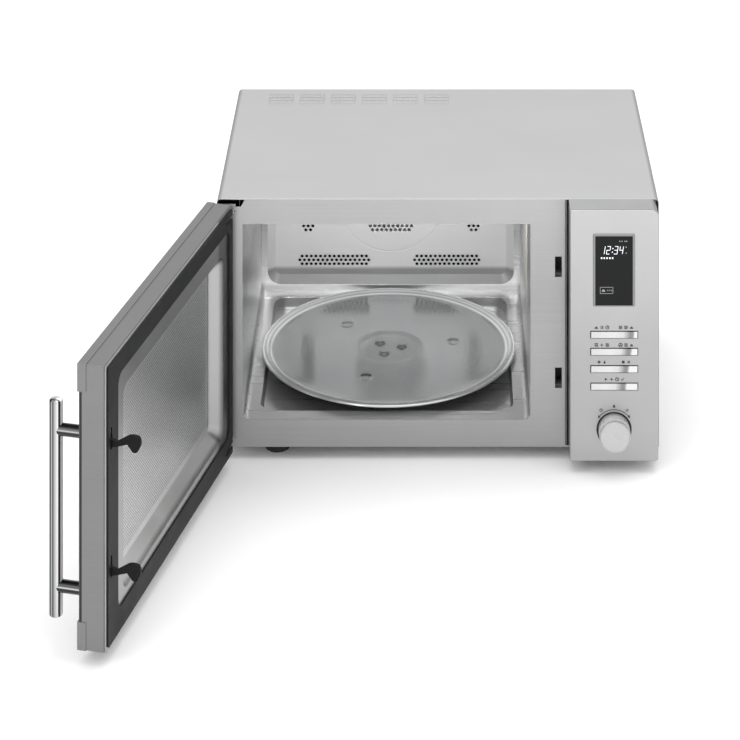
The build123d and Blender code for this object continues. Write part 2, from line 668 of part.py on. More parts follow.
with BuildPart() as cooling_fan_shroud:
    with BuildSketch(front(CABINET_DEPTH - SHEET - 26)):
        with Locations(COOLING_FAN):
            RectangleRounded(102, 106, 6)
            Circle(FAN_RADIUS + 2, mode=Mode.SUBTRACT)
    extrude(amount=-26)
    # Two bars in front of the blades carry the motor
    with BuildSketch(front(CABINET_DEPTH - SHEET - 30)):
        for bar_z in (COOLING_FAN[1] - 16, COOLING_FAN[1] + 16):
            span(COOLING_FAN[0] - 50, COOLING_FAN[0] + 50, bar_z - 4, bar_z + 4)
    extrude(amount=-4)
cooling_fan_shroud.part.label = "cooling_fan_shroud"
export_step(cooling_fan_shroud.part, "parts/cooling_fan_shroud.step")

MOTOR_FACE = CABINET_DEPTH - SHEET - 30

with BuildPart() as cooling_fan_motor:
    with BuildSketch(front(MOTOR_FACE)):
        with Locations(COOLING_FAN):
            Rectangle(54, 50)
    extrude(amount=16)
    with BuildSketch(front(MOTOR_FACE - 16)):
        with Locations((COOLING_FAN[0], COOLING_FAN[1] - 14)):
            Rectangle(30, 20)
    extrude(amount=12)
    with BuildSketch(front(MOTOR_FACE)):
        with Locations(COOLING_FAN):
            Circle(1.6)
    extrude(amount=-14)
cooling_fan_motor.part.label = "cooling_fan_motor"
export_step(cooling_fan_motor.part, "parts/cooling_fan_motor.step")


with BuildPart() as cooling_fan_blade:
    with BuildSketch(front(FAN_Y - 9)):
        with Locations(COOLING_FAN):
            Circle(13)
            Circle(1.65, mode=Mode.SUBTRACT)
    extrude(amount=-16)
    for blade in range(7):
        turn = 360 * blade / 7
        blade_plane = Plane(
            origin=(
                COOLING_FAN[0] + 12 * cos(radians(turn)), FAN_Y - 1, COOLING_FAN[1] + 12 * sin(radians(turn))
            ),
            x_dir=(-sin(radians(turn)), 0, cos(radians(turn))),
            z_dir=(cos(radians(turn)), 0, sin(radians(turn))),
        )
        with BuildSketch(blade_plane):
            Rectangle(22, 1.4, rotation=30)
        extrude(amount=FAN_RADIUS - 14)
cooling_fan_blade.part.label = "cooling_fan_blade"
export_step(cooling_fan_blade.part, "parts/cooling_fan_blade.step")

# ---------------------------------------------------------------- convection unit behind the cavity
CHAMBER_FRONT = BACK_PANEL_Y + LINER_SHEET
CHAMBER_BACK = CHAMBER_FRONT + CHAMBER_DEPTH
CONVECTION_AXIS = BACK_CENTRE

with BuildPart() as convection_chamber:
    with BuildSketch(front(CHAMBER_FRONT)):
        span(*CHAMBER, radius=12)
    extrude(amount=-CHAMBER_DEPTH)
    with BuildSketch(front(CHAMBER_FRONT)):
        span(CHAMBER[0] + 0.8, CHAMBER[1] - 0.8, CHAMBER[2] + 0.8, CHAMBER[3] - 0.8, radius=11.2)
    extrude(amount=-(CHAMBER_DEPTH - LINER_SHEET), mode=Mode.SUBTRACT)
    # Shaft hole, and two holes for the heater's cold ends
    with BuildSketch(front(CHAMBER_BACK - 2)):
        with Locations(CONVECTION_AXIS):
            Circle(7)
        with Locations(*[(CONVECTION_AXIS[0] + x, CHAMBER[2] + 14) for x in (-12, 12)]):
            Circle(3.6)
    extrude(amount=-4, mode=Mode.SUBTRACT)
convection_chamber.part.label = "convection_chamber"
export_step(convection_chamber.part, "parts/convection_chamber.step")

HEATER_RADIUS = 82.0
HEATER_TUBE = 3.25
HEATER_Y = CHAMBER_FRONT + 13

with BuildPart() as convection_heater:
    # Ring element: an almost closed circle whose two ends turn back through the chamber
    ring_gap = 12.0
    with BuildLine() as ring_path:
        ring_plane = front(HEATER_Y)
        drop = (HEATER_RADIUS**2 - ring_gap**2) ** 0.5
        left_end = ring_plane.from_local_coords((CONVECTION_AXIS[0] - ring_gap, CONVECTION_AXIS[1] - drop))
        right_end = ring_plane.from_local_coords((CONVECTION_AXIS[0] + ring_gap, CONVECTION_AXIS[1] - drop))
        top = ring_plane.from_local_coords((CONVECTION_AXIS[0], CONVECTION_AXIS[1] + HEATER_RADIUS))
        ThreePointArc(left_end, top, right_end)
    with BuildSketch(Plane(origin=left_end, z_dir=ring_path.edges()[0].tangent_at(0))):
        Circle(HEATER_TUBE)
    sweep(path=ring_path.wires()[0])
    with BuildSketch(front(HEATER_Y - 3)):
        with Locations(
            (CONVECTION_AXIS[0] - ring_gap, CHAMBER[2] + 14), (CONVECTION_AXIS[0] + ring_gap, CHAMBER[2] + 14)
        ):
            Circle(HEATER_TUBE)
    extrude(amount=-(CHAMBER_BACK + 8 - HEATER_Y + 3))
convection_heater.part.label = "convection_heater"
export_step(convection_heater.part, "parts/convection_heater.step")

with BuildPart() as convection_motor:
    with BuildSketch(front(CHAMBER_BACK)):
        with Locations(CONVECTION_AXIS):
            Rectangle(60, 54)
    extrude(amount=-20)
    with BuildSketch(front(CHAMBER_BACK + 20)):
        with Locations((CONVECTION_AXIS[0], CONVECTION_AXIS[1] - 14)):
            Rectangle(34, 22)
    extrude(amount=-8)
    with BuildSketch(front(CHAMBER_BACK)):
        with Locations(CONVECTION_AXIS):
            Circle(3.0)
    extrude(amount=22)
convection_motor.part.label = "convection_motor"
export_step(convection_motor.part, "parts/convection_motor.step")

with BuildPart() as convection_fan:
    with BuildSketch(front(CHAMBER_FRONT + 10)):
        with Locations(CONVECTION_AXIS):
            Circle(9)
            Circle(3.05, mode=Mode.SUBTRACT)
    extrude(amount=-14)
    with BuildSketch(front(CHAMBER_FRONT + 22)):
        with Locations(CONVECTION_AXIS):
            Circle(62)
            Circle(3.05, mode=Mode.SUBTRACT)
    extrude(amount=-0.8)
    # Straight radial vanes bent up from the disc
    with BuildSketch(front(CHAMBER_FRONT + 8)):
        with Locations(CONVECTION_AXIS):
            with PolarLocations(42, 12):
                Rectangle(40, 0.8)
    extrude(amount=-14.2)
convection_fan.part.label = "convection_fan"
export_step(convection_fan.part, "parts/convection_fan.step")

# ---------------------------------------------------------------- grill element under the ceiling
GRILL_Z = CAVITY_TOP - 12.0

with BuildPart() as grill_heater:
    with BuildLine() as grill_path:
        FilletPolyline(
            (CAVITY_X - 78, 286, CAVITY_TOP + 10),
            (CAVITY_X - 78, 286, GRILL_Z),
            (CAVITY_X - 78, 60, GRILL_Z),
            (CAVITY_X - 26, 60, GRILL_Z),
            (CAVITY_X - 26, 250, GRILL_Z),
            (CAVITY_X + 26, 250, GRILL_Z),
            (CAVITY_X + 26, 60, GRILL_Z),
            (CAVITY_X + 78, 60, GRILL_Z),
            (CAVITY_X + 78, 286, GRILL_Z),
            (CAVITY_X + 78, 286, CAVITY_TOP + 10),
            radius=10,
        )
    with BuildSketch(Plane(origin=(CAVITY_X - 78, 286, CAVITY_TOP + 10), z_dir=(0, 0, -1))):
        Circle(3.25)
    sweep(path=grill_path.wires()[0])
    # Ceramic collars where the element hangs from the ceiling
    with BuildSketch(level(GRILL_Z)):
        with Locations(*[(x, y) for x, y in GRILL_FEET if y < 100]):
            Circle(2.4)
    extrude(amount=CAVITY_TOP + 6 - GRILL_Z)
grill_heater.part.label = "grill_heater"
export_step(grill_heater.part, "parts/grill_heater.step")

# ---------------------------------------------------------------- cavity lamp
with BuildPart() as cavity_lamp:
    with BuildSketch(side(CAVITY_RIGHT + LINER_SHEET + 0.2)):
        with Locations(LAMP_HOLES):
            RectangleRounded(56, 62, 3)
    extrude(amount=4)
    with BuildSketch(side(CAVITY_RIGHT + LINER_SHEET + 0.2)):
        with Locations(LAMP_HOLES):
            RectangleRounded(50, 56, 2)
    extrude(amount=3, mode=Mode.SUBTRACT)
    with BuildSketch(side(CAVITY_RIGHT + LINER_SHEET + 4)):
        with Locations(LAMP_HOLES):
            Circle(11)
    extrude(amount=20)
cavity_lamp.part.label = "cavity_lamp"
export_step(cavity_lamp.part, "parts/cavity_lamp.step")

# ---------------------------------------------------------------- turntable
WHEEL_Z = WELL_FLOOR + RUNNING_GAP + WHEEL_RADIUS
SHAFT_RADIUS = 3.5
PLATE_CENTRE = (CAVITY_X, PLATE_Y)
PLATE_RADIUS = PLATE_DIAMETER / 2
LUG_RADIUS = 16.5
DIMPLE_RADIUS = 82.0
WHEEL_DIRECTIONS = (90, 210, 330)

with BuildPart() as turntable_motor:
    with BuildSketch(level(BASE_TOP + 1.6)):
        with Locations(PLATE_CENTRE):
            Circle(25)
            with PolarLocations(29, 2):
                RectangleRounded(16, 12, 4)
    extrude(amount=15.4)
    with BuildSketch(level(BASE_TOP + 1.6)):
        with Locations(PLATE_CENTRE):
            Circle(SHAFT_RADIUS + 0.05)
    extrude(amount=16, mode=Mode.SUBTRACT)
turntable_motor.part.label = "turntable_motor"
export_step(turntable_motor.part, "parts/turntable_motor.step")

with BuildPart() as turntable_coupler:
    with BuildSketch(level(WELL_FLOOR + 2)):
        with Locations(PLATE_CENTRE):
            Circle(9)
            with PolarLocations(14, 3, start_angle=LUG_DIRECTION + 60):
                RectangleRounded(22, 6.5, 3)
    extrude(amount=PLATE_UNDERSIDE - WELL_FLOOR - 2)
    # Spindle down into the motor
    with BuildSketch(level(BASE_TOP + 2)):
        with Locations(PLATE_CENTRE):
            Circle(SHAFT_RADIUS)
    extrude(amount=WELL_FLOOR + 2 - BASE_TOP - 2)
turntable_coupler.part.label = "turntable_coupler"
export_step(turntable_coupler.part, "parts/turntable_coupler.step")

plate_section = Plane(origin=(CAVITY_X, PLATE_Y, PLATE_UNDERSIDE), x_dir=(1, 0, 0), z_dir=(0, -1, 0))

with BuildPart() as glass_turntable:
    with BuildSketch(plate_section):
        with BuildLine():
            Polyline((0, 3.6), (0, 0), (138, 0))
            Spline((138, 0), (147, 0.9), (PLATE_RADIUS - 2, 4.6), tangents=((1, 0), (0.8, 1)))
            ThreePointArc((PLATE_RADIUS - 2, 4.6), (PLATE_RADIUS, 6.2), (PLATE_RADIUS - 1.6, 8.0))
            Polyline(
                (PLATE_RADIUS - 1.6, 8.0), (PLATE_RADIUS - 3.4, 7.6), (PLATE_RADIUS - 4.2, 8.3),
                (PLATE_RADIUS - 6.0, 7.9), (PLATE_RADIUS - 8.5, 6.6),
            )
            Spline((PLATE_RADIUS - 8.5, 6.6), (143, 4.6), (134, 4.0), tangents=((-1, -0.6), (-1, 0)))
            Polyline((134, 4.0), (42, 4.0), (41.4, 3.6), (0, 3.6))
        make_face()
    revolve(axis=Axis((CAVITY_X, PLATE_Y, 0), (0, 0, 1)))
    # Three domes over the coupler, with the drive lugs below them
    with BuildSketch(level(PLATE_UNDERSIDE + 3.4)):
        with Locations(PLATE_CENTRE):
            with PolarLocations(LUG_RADIUS, 3, start_angle=LUG_DIRECTION):
                Circle(7.5)
    extrude(amount=3.2, taper=35)
    with BuildSketch(level(PLATE_UNDERSIDE)):
        with Locations(PLATE_CENTRE):
            with PolarLocations(LUG_RADIUS, 3, start_angle=LUG_DIRECTION):
                Circle(4.5)
    extrude(amount=-4.5, taper=6)
    # Three shallow round feet, each with a dimple above it
    with BuildSketch(level(PLATE_UNDERSIDE)):
        with Locations(PLATE_CENTRE):
            with PolarLocations(DIMPLE_RADIUS, 3, start_angle=LUG_DIRECTION):
                Circle(9)
    extrude(amount=-1.4, taper=30)
    with BuildSketch(level(PLATE_UNDERSIDE + 4)):
        with Locations(PLATE_CENTRE):
            with PolarLocations(DIMPLE_RADIUS, 3, start_angle=LUG_DIRECTION):
                Circle(10)
    extrude(amount=-1.6, taper=45, mode=Mode.SUBTRACT)
glass_turntable.part.label = "glass_turntable"
export_step(glass_turntable.part, "parts/glass_turntable.step")

with BuildPart() as roller_ring:
    with BuildSketch(level(WHEEL_Z - 3)):
        with Locations(PLATE_CENTRE):
            Circle(WHEEL_TRACK - 5)
            Circle(WHEEL_TRACK - 10, mode=Mode.SUBTRACT)
    extrude(amount=6)
    for direction in WHEEL_DIRECTIONS:
        outward = Vector(cos(radians(direction)), sin(radians(direction)), 0)
        hub = Vector(CAVITY_X, PLATE_Y, WHEEL_Z) + outward * (WHEEL_TRACK - 5.5)
        with BuildSketch(Plane(origin=hub, z_dir=outward)):
            Circle(1.6)
        extrude(amount=10)
        with BuildSketch(Plane(origin=hub + outward * 9.4, z_dir=outward)):
            Circle(2.6)
        extrude(amount=1.2)
roller_ring.part.label = "roller_ring"
export_step(roller_ring.part, "parts/roller_ring.step")

for number, direction in enumerate(WHEEL_DIRECTIONS, start=1):
    outward = Vector(cos(radians(direction)), sin(radians(direction)), 0)
    wheel_face = Vector(CAVITY_X, PLATE_Y, WHEEL_Z) + outward * (WHEEL_TRACK - 3)
    with BuildPart() as roller_wheel:
        with BuildSketch(Plane(origin=wheel_face, z_dir=outward)):
            Circle(WHEEL_RADIUS)
            Circle(1.65, mode=Mode.SUBTRACT)
        extrude(amount=6)
        fillet(roller_wheel.edges().filter_by(GeomType.CIRCLE).group_by(SortBy.RADIUS)[-1], 0.8)
    roller_wheel.part.label = f"roller_wheel_{number}"
    export_step(roller_wheel.part, f"parts/roller_wheel_{number}.step")

# ---------------------------------------------------------------- door interlock behind the front frame
with BuildPart() as interlock_bracket:
    with BuildSketch(side(134)):
        span(SHEET, 36, 72, 252)
    extrude(amount=13.8)
    for slot_z in LATCH_SLOT_LEVELS:
        # Pocket that the hook swings into, with a low sill for it to drop behind
        with BuildSketch(side(136.5)):
            span(0, 34, slot_z - 15, slot_z + 15)
            span(6, 16, slot_z - 16, slot_z - 10, mode=Mode.SUBTRACT)
        extrude(amount=9.9, mode=Mode.SUBTRACT)
    with BuildSketch(side(134)):
        span(8, 30, 124, 198, radius=4)
    extrude(amount=13.8, mode=Mode.SUBTRACT)
interlock_bracket.part.label = "interlock_bracket"
export_step(interlock_bracket.part, "parts/interlock_bracket.step")

with BuildPart() as door_switches:
    with BuildSketch(side(123.5)):
        for switch_z in (96.2, 205.0, 232.0):
            span(12, 28, switch_z - 10, switch_z + 10, radius=1.5)
    extrude(amount=10.5)
door_switches.part.label = "door_switches"
export_step(door_switches.part, "parts/door_switches.step")

# ---------------------------------------------------------------- hinges
PIN_RADIUS = 1.6
LUG_END_RADIUS = 3.4
with BuildPart() as hinge_brackets:
    for lug_z, plate_z in zip(HINGE_LEVELS, HINGE_PLATES):
        # Plate behind the front frame
        with BuildSketch(front(SHEET)):
            span(-INSIDE, -238, *plate_z)
        extrude(amount=-2)
        # Lug through the frame, curving out to the pivot
        with BuildSketch(level(lug_z - HINGE_LUG_THICKNESS / 2)):
            with BuildLine():
                Polyline(
                    (-240, SHEET + 1), (-250.5, SHEET + 1), (PIVOT_X - LUG_END_RADIUS, PIVOT_Y),
                    (PIVOT_X + LUG_END_RADIUS, PIVOT_Y), (-240, -6), close=True,
                )
            make_face()
            with Locations((PIVOT_X, PIVOT_Y)):
                Circle(LUG_END_RADIUS)
                Circle(PIN_RADIUS, mode=Mode.SUBTRACT)
        extrude(amount=HINGE_LUG_THICKNESS)
hinge_brackets.part.label = "hinge_brackets"
export_step(hinge_brackets.part, "parts/hinge_brackets.step")

with BuildPart() as hinge_pins:
    for lug_z in HINGE_LEVELS:
        with BuildSketch(level(lug_z - 9)):
            with Locations((PIVOT_X, PIVOT_Y)):
                Circle(PIN_RADIUS)
        extrude(amount=18)
hinge_pins.part.label = "hinge_pins"
export_step(hinge_pins.part, "parts/hinge_pins.step")

HINGE_POCKET = (DOOR_LEFT - 1, -231.5, -23.5, 1.0)
HINGE_POCKET_HALF = 2.4


def cut_hinge_pockets():
    """Slots through the door's hinge edge that the two lugs swing in."""
    for lug_z in HINGE_LEVELS:
        with BuildSketch(door_level(lug_z - HINGE_POCKET_HALF)) as pocket:
            span(*HINGE_POCKET)
        extrude(pocket.sketch, amount=2 * HINGE_POCKET_HALF, mode=Mode.SUBTRACT)


with BuildPart() as hinge_bushes:
    for lug_z in HINGE_LEVELS:
        for block_z in (lug_z + HINGE_POCKET_HALF, lug_z - HINGE_POCKET_HALF - 8):
            with BuildSketch(door_level(block_z)):
                span(DOOR_LEFT + 1.6, -248, -22, -9)
                with Locations((PIVOT_X, PIVOT_Y)):
                    Circle(PIN_RADIUS + 0.05, mode=Mode.SUBTRACT)
            extrude(amount=8)
hinge_bushes.part.label = "hinge_bushes"
export_step(hinge_bushes.part, "parts/hinge_bushes.step")

# ---------------------------------------------------------------- door
DOOR_SHEET = 0.8
SKIN_INSET = 0.6
SKIN = (DOOR_LEFT + SKIN_INSET, DOOR_RIGHT - SKIN_INSET, FOOT_HEIGHT + SKIN_INSET, CABINET_TOP - SKIN_INSET)
GLASS_FRONT = -31.2
GLASS_BACK = -28.5
SKIN_BACK = -4.2
TRIM_BACK = -23.5
PAN_EDGE_FRONT = -3.6
PAN_FACE = -2.2
PAN_FLOOR = -16.0
WINDOW_RIM = (-226.0, 102.0, 51.0, 262.0)
WINDOW_INSET = 12.0
CHOKE_OUTSIDE = (-256.5, 149.0, 18.5, 303.0)
CHOKE_OPENING = (-244.5, 120.5, 42.0, 283.0)
LATCH_THICKNESS = 4.0
LATCH_KEY_TOP = 244.0
LATCH_SLITS = [(LATCH_X, z + 1.5) for z in LATCH_LEVELS]
LATCH_SLIT = (LATCH_THICKNESS + 1.2, 22.0)
SPRING_TOP = 262.0
SPRING_Y = -10.5
POST_LEVELS = (HANDLE_Z - POST_SPACING / 2, HANDLE_Z + POST_SPACING / 2)
POST_CENTRES = [(HANDLE_X, z) for z in POST_LEVELS]
SCREW_RADIUS = 2.0

with BuildPart() as door_frame:
    with BuildSketch(door_face(GLASS_BACK)):
        span(*SKIN)
        span(SKIN[0] + SHEET, SKIN[1] - SHEET, SKIN[2] + SHEET, SKIN[3] - SHEET, mode=Mode.SUBTRACT)
    extrude(amount=GLASS_BACK - SKIN_BACK)
    # Front flange that the glass is bonded to, wider on the handle side
    with BuildSketch(door_face(GLASS_BACK)):
        span(*SKIN)
        span(SKIN[0] + 12, SKIN[1] - 34, SKIN[2] + 30, SKIN[3] - 30, mode=Mode.SUBTRACT)
        with Locations(*POST_CENTRES):
            Circle(SCREW_RADIUS + 0.3, mode=Mode.SUBTRACT)
    extrude(amount=-SHEET)
    cut_hinge_pockets()
door_frame.part.label = "door_frame"
export_step(door_frame.part, "parts/door_frame.step")

with BuildPart() as door_glass:
    with BuildSketch(door_face(GLASS_BACK)):
        span(DOOR_LEFT + 0.2, DOOR_RIGHT - 0.2, FOOT_HEIGHT + TRIM_HEIGHT, CABINET_TOP - TRIM_HEIGHT)
        with Locations(*POST_CENTRES):
            Circle(SCREW_RADIUS + 0.3, mode=Mode.SUBTRACT)
    extrude(amount=GLASS_BACK - GLASS_FRONT)
    chamfer(door_glass.faces().sort_by(Axis(door_point(0, 0, 0), OUT_OF_DOOR))[-1].edges(), 0.4)
door_glass.part.label = "door_glass"
export_step(door_glass.part, "parts/door_glass.step")

# Stainless bands over the top and the bottom of the glass, wrapped round both ends
with BuildPart() as door_trims:
    for edge_z, inward in ((CABINET_TOP, -1), (FOOT_HEIGHT, 1)):
        inner_z = edge_z + inward * TRIM_HEIGHT
        with BuildSketch(door_face(TRIM_BACK)):
            span(DOOR_LEFT, DOOR_RIGHT, *sorted((edge_z, inner_z)))
            span(
                DOOR_LEFT + SKIN_INSET, DOOR_RIGHT - SKIN_INSET,
                *sorted((edge_z + inward * SKIN_INSET, inner_z + inward)), mode=Mode.SUBTRACT,
            )
        extrude(amount=TRIM_BACK - DOOR_FRONT)
        # Front band, and a lip back to the face of the glass
        with BuildSketch(door_face(DOOR_FRONT + DOOR_SHEET)):
            span(DOOR_LEFT, DOOR_RIGHT, *sorted((edge_z, inner_z)))
        extrude(amount=DOOR_SHEET)
        with BuildSketch(door_face(GLASS_FRONT)):
            span(DOOR_LEFT, DOOR_RIGHT, *sorted((inner_z, inner_z - inward * DOOR_SHEET)))
        extrude(amount=GLASS_FRONT - DOOR_FRONT)
door_trims.part.label = "door_trims"
export_step(door_trims.part, "parts/door_trims.step")

with BuildPart() as door_inner_pan:
    # Folded edge, then the flat face
    with BuildSketch(door_face(PAN_FACE)):
        span(*SKIN)
        span(SKIN[0] + 0.8, SKIN[1] - 0.8, SKIN[2] + 0.8, SKIN[3] - 0.8, mode=Mode.SUBTRACT)
    extrude(amount=PAN_FACE - PAN_EDGE_FRONT)
    with BuildSketch(door_face(PAN_FACE)):
        span(*SKIN)
    extrude(amount=DOOR_SHEET)
    # Dished window: its floor is the perforated screen
    with BuildSketch(door_face(PAN_FACE - DOOR_SHEET)):
        span(
            WINDOW_RIM[0] - 0.4, WINDOW_RIM[1] + 0.4, WINDOW_RIM[2] - 0.4, WINDOW_RIM[3] + 0.4, radius=12.4,
        )
    with BuildSketch(door_face(PAN_FLOOR - DOOR_SHEET)):
        span(
            WINDOW_RIM[0] + WINDOW_INSET - 0.8, WINDOW_RIM[1] - WINDOW_INSET + 0.8,
            WINDOW_RIM[2] + WINDOW_INSET - 0.8, WINDOW_RIM[3] - WINDOW_INSET + 0.8, radius=7.8,
        )
    loft()
    with BuildSketch(door_face(PAN_FACE)):
        span(*WINDOW_RIM, radius=12)
    with BuildSketch(door_face(PAN_FLOOR)):
        span(
            WINDOW_RIM[0] + WINDOW_INSET, WINDOW_RIM[1] - WINDOW_INSET,
            WINDOW_RIM[2] + WINDOW_INSET, WINDOW_RIM[3] - WINDOW_INSET, radius=7,
        )
    loft(mode=Mode.SUBTRACT)
    with BuildSketch(door_face(PAN_FACE)):
        with Locations(*LATCH_SLITS):
            Rectangle(*LATCH_SLIT)
    extrude(amount=2, both=True, mode=Mode.SUBTRACT)
    # Inside the door: a seat above the latch spring, and two pairs of cheeks beside the key
    with BuildSketch(door_side(LATCH_X - 6)):
        span(-22.0, PAN_FACE - DOOR_SHEET, SPRING_TOP, SPRING_TOP + 3)
    extrude(amount=12)
    for guide_z in (120.0, 190.0):
        for guide_x in (LATCH_X - LATCH_THICKNESS / 2 - 2.4, LATCH_X + LATCH_THICKNESS / 2 + 0.4):
            with BuildSketch(door_side(guide_x)):
                span(-17.0, PAN_FACE - DOOR_SHEET, guide_z, guide_z + 12)
            extrude(amount=2)
    cut_hinge_pockets()
door_inner_pan.part.label = "door_inner_pan"
export_step(door_inner_pan.part, "parts/door_inner_pan.step")

with BuildPart() as window_film:
    with BuildSketch(door_face(PAN_FLOOR)):
        span(
            WINDOW_RIM[0] + WINDOW_INSET + 1, WINDOW_RIM[1] - WINDOW_INSET - 1,
            WINDOW_RIM[2] + WINDOW_INSET + 1, WINDOW_RIM[3] - WINDOW_INSET - 1, radius=6,
        )
    extrude(amount=-0.5)
window_film.part.label = "window_film"
export_step(window_film.part, "parts/window_film.step")

with BuildPart() as choke_cover:
    with BuildSketch(door_face(DOOR_BACK)):
        span(*CHOKE_OUTSIDE, radius=3)
        span(*CHOKE_OPENING, radius=12, mode=Mode.SUBTRACT)
        with Locations(*LATCH_SLITS):
            Rectangle(*LATCH_SLIT, mode=Mode.SUBTRACT)
    extrude(amount=DOOR_BACK - PAN_FACE)
    cut_hinge_pockets()
choke_cover.part.label = "choke_cover"
export_step(choke_cover.part, "parts/choke_cover.step")

# Sliding latch: a flat key inside the door with two hooks that reach into the cabinet
with BuildPart() as latch_key:
    with BuildSketch(door_side(LATCH_X - LATCH_THICKNESS / 2)):
        span(-14.0, -7.0, 78.0, LATCH_KEY_TOP)
        for hook_z in LATCH_LEVELS:
            with BuildLine():
                Polyline(
                    (-8.0, hook_z - 7.5), (-3.0, hook_z - 7.5), (7.4, hook_z - 5.2), (17.0, hook_z - 2.1),
                )
                Polyline((17.0, hook_z - 2.1), (20.9, hook_z - 6.4), (22.5, hook_z - 8.6))
                ThreePointArc((22.5, hook_z - 8.6), (26.8, hook_z - 9.3), (29.6, hook_z - 5.6))
                ThreePointArc((29.6, hook_z - 5.6), (31.6, hook_z + 2.5), (29.4, hook_z + 6.6))
                ThreePointArc((29.4, hook_z + 6.6), (23.0, hook_z + 7.6), (17.0, hook_z + 5.8))
                Polyline(
                    (17.0, hook_z + 5.8), (6.5, hook_z - 0.6), (-3.0, hook_z + 2.6), (-8.0, hook_z + 2.6),
                )
                Line((-8.0, hook_z + 2.6), (-8.0, hook_z - 7.5))
            make_face()
    extrude(amount=LATCH_THICKNESS)
latch_key.part.label = "latch_key"
export_step(latch_key.part, "parts/latch_key.step")

SPRING_RADIUS = 3.0
SPRING_WIRE = 0.45
spring_base = door_point(LATCH_X, SPRING_Y, LATCH_KEY_TOP + SPRING_WIRE)

with BuildPart() as latch_spring:
    with BuildLine() as spring_path:
        Helix(
            pitch=3.0, height=SPRING_TOP - LATCH_KEY_TOP - 2 * SPRING_WIRE, radius=SPRING_RADIUS,
            center=spring_base, direction=(0, 0, 1),
        )
    with BuildSketch(Plane(origin=spring_path.edges()[0] @ 0, z_dir=spring_path.edges()[0] % 0)):
        Circle(SPRING_WIRE)
    sweep(path=spring_path.wires()[0], is_frenet=True)
latch_spring.part.label = "latch_spring"
export_step(latch_spring.part, "parts/latch_spring.step")

# ---------------------------------------------------------------- handle
BAR_RADIUS = 7.0
POST_RADIUS = 6.4

with BuildPart() as handle_bar:
    with BuildSketch(door_level(HANDLE_Z - HANDLE_LENGTH / 2)):
        with Locations((HANDLE_X, HANDLE_Y)):
            Circle(BAR_RADIUS)
    extrude(amount=HANDLE_LENGTH)
    fillet(handle_bar.edges().filter_by(GeomType.CIRCLE), 1.0)
handle_bar.part.label = "handle_bar"
export_step(handle_bar.part, "parts/handle_bar.step")

with BuildPart() as handle_posts:
    with BuildSketch(door_face(GLASS_FRONT)):
        with Locations(*POST_CENTRES):
            Circle(POST_RADIUS)
    extrude(amount=GLASS_FRONT - HANDLE_Y)
    with BuildSketch(door_level(HANDLE_Z - HANDLE_LENGTH / 2)):
        with Locations((HANDLE_X, HANDLE_Y)):
            Circle(BAR_RADIUS)
    extrude(amount=HANDLE_LENGTH, mode=Mode.SUBTRACT)
    with BuildSketch(door_face(GLASS_FRONT)):
        with Locations(*POST_CENTRES):
            Circle(SCREW_RADIUS)
    extrude(amount=16, mode=Mode.SUBTRACT)
handle_posts.part.label = "handle_posts"
export_step(handle_posts.part, "parts/handle_posts.step")

with BuildPart() as handle_screws:
    with BuildSketch(door_face(GLASS_BACK + SHEET)):
        with Locations(*POST_CENTRES):
            Circle(SCREW_RADIUS)
    extrude(amount=GLASS_BACK + SHEET - GLASS_FRONT + 15)
    with BuildSketch(door_face(GLASS_BACK + SHEET)):
        with Locations(*POST_CENTRES):
            Circle(4.0)
    extrude(amount=-2.4)
handle_screws.part.label = "handle_screws"
export_step(handle_screws.part, "parts/handle_screws.step")

# ---------------------------------------------------------------- control panel
HOUSING_FRONT = PANEL_FRONT + 1.0
HOUSING_WALL = 2.2
BEZEL = (DISPLAY[0] - 2.6, DISPLAY[1] + 2.7, DISPLAY[2] - 1.4, DISPLAY[3] + 2.7)
KEY_GAP = 0.75
KEY_FRONT = PANEL_FRONT - 1.2
KEY_BACK = HOUSING_FRONT + 3.0
KNOB_WELL_RADIUS = 20.4
BOARD_Y = -14.0
DISPLAY_BACK = -23.0


def panel_outline():
    """Front outline of the control panel: square on the door side, rounded on the outer side."""
    span(PANEL_LEFT, PANEL_RIGHT, FOOT_HEIGHT, CABINET_TOP)


def round_outer_corners(sketch):
    """Round the lower and the upper right-hand corner of a panel outline."""
    for position, radius in ((0, 4.0), (-1, 6.0)):
        right_corners = sketch.vertices().group_by(Axis.X)[-1].sort_by(Axis.Y)
        fillet(right_corners[position], radius)


def key_windows(gap):
    """The four key openings."""
    with Locations(*[(KEY_X, z) for z in KEY_LEVELS]):
        Rectangle(KEY_LENGTH + 2 * gap, KEY_HEIGHT + 2 * gap, mode=Mode.SUBTRACT)


with BuildPart() as panel_fascia:
    with BuildSketch(front(HOUSING_FRONT)) as fascia_face:
        panel_outline()
        round_outer_corners(fascia_face)
        span(BEZEL[0] + 0.9, BEZEL[1] - 0.9, BEZEL[2] + 0.7, BEZEL[3] - 0.9, mode=Mode.SUBTRACT)
        key_windows(KEY_GAP)
        with Locations((KNOB_X, KNOB_Z)):
            Circle(KNOB_WELL_RADIUS, mode=Mode.SUBTRACT)
    extrude(amount=HOUSING_FRONT - PANEL_FRONT)
    chamfer(panel_fascia.faces().sort_by(Axis.Y)[0].outer_wire().edges(), 0.5)
panel_fascia.part.label = "panel_fascia"
export_step(panel_fascia.part, "parts/panel_fascia.step")

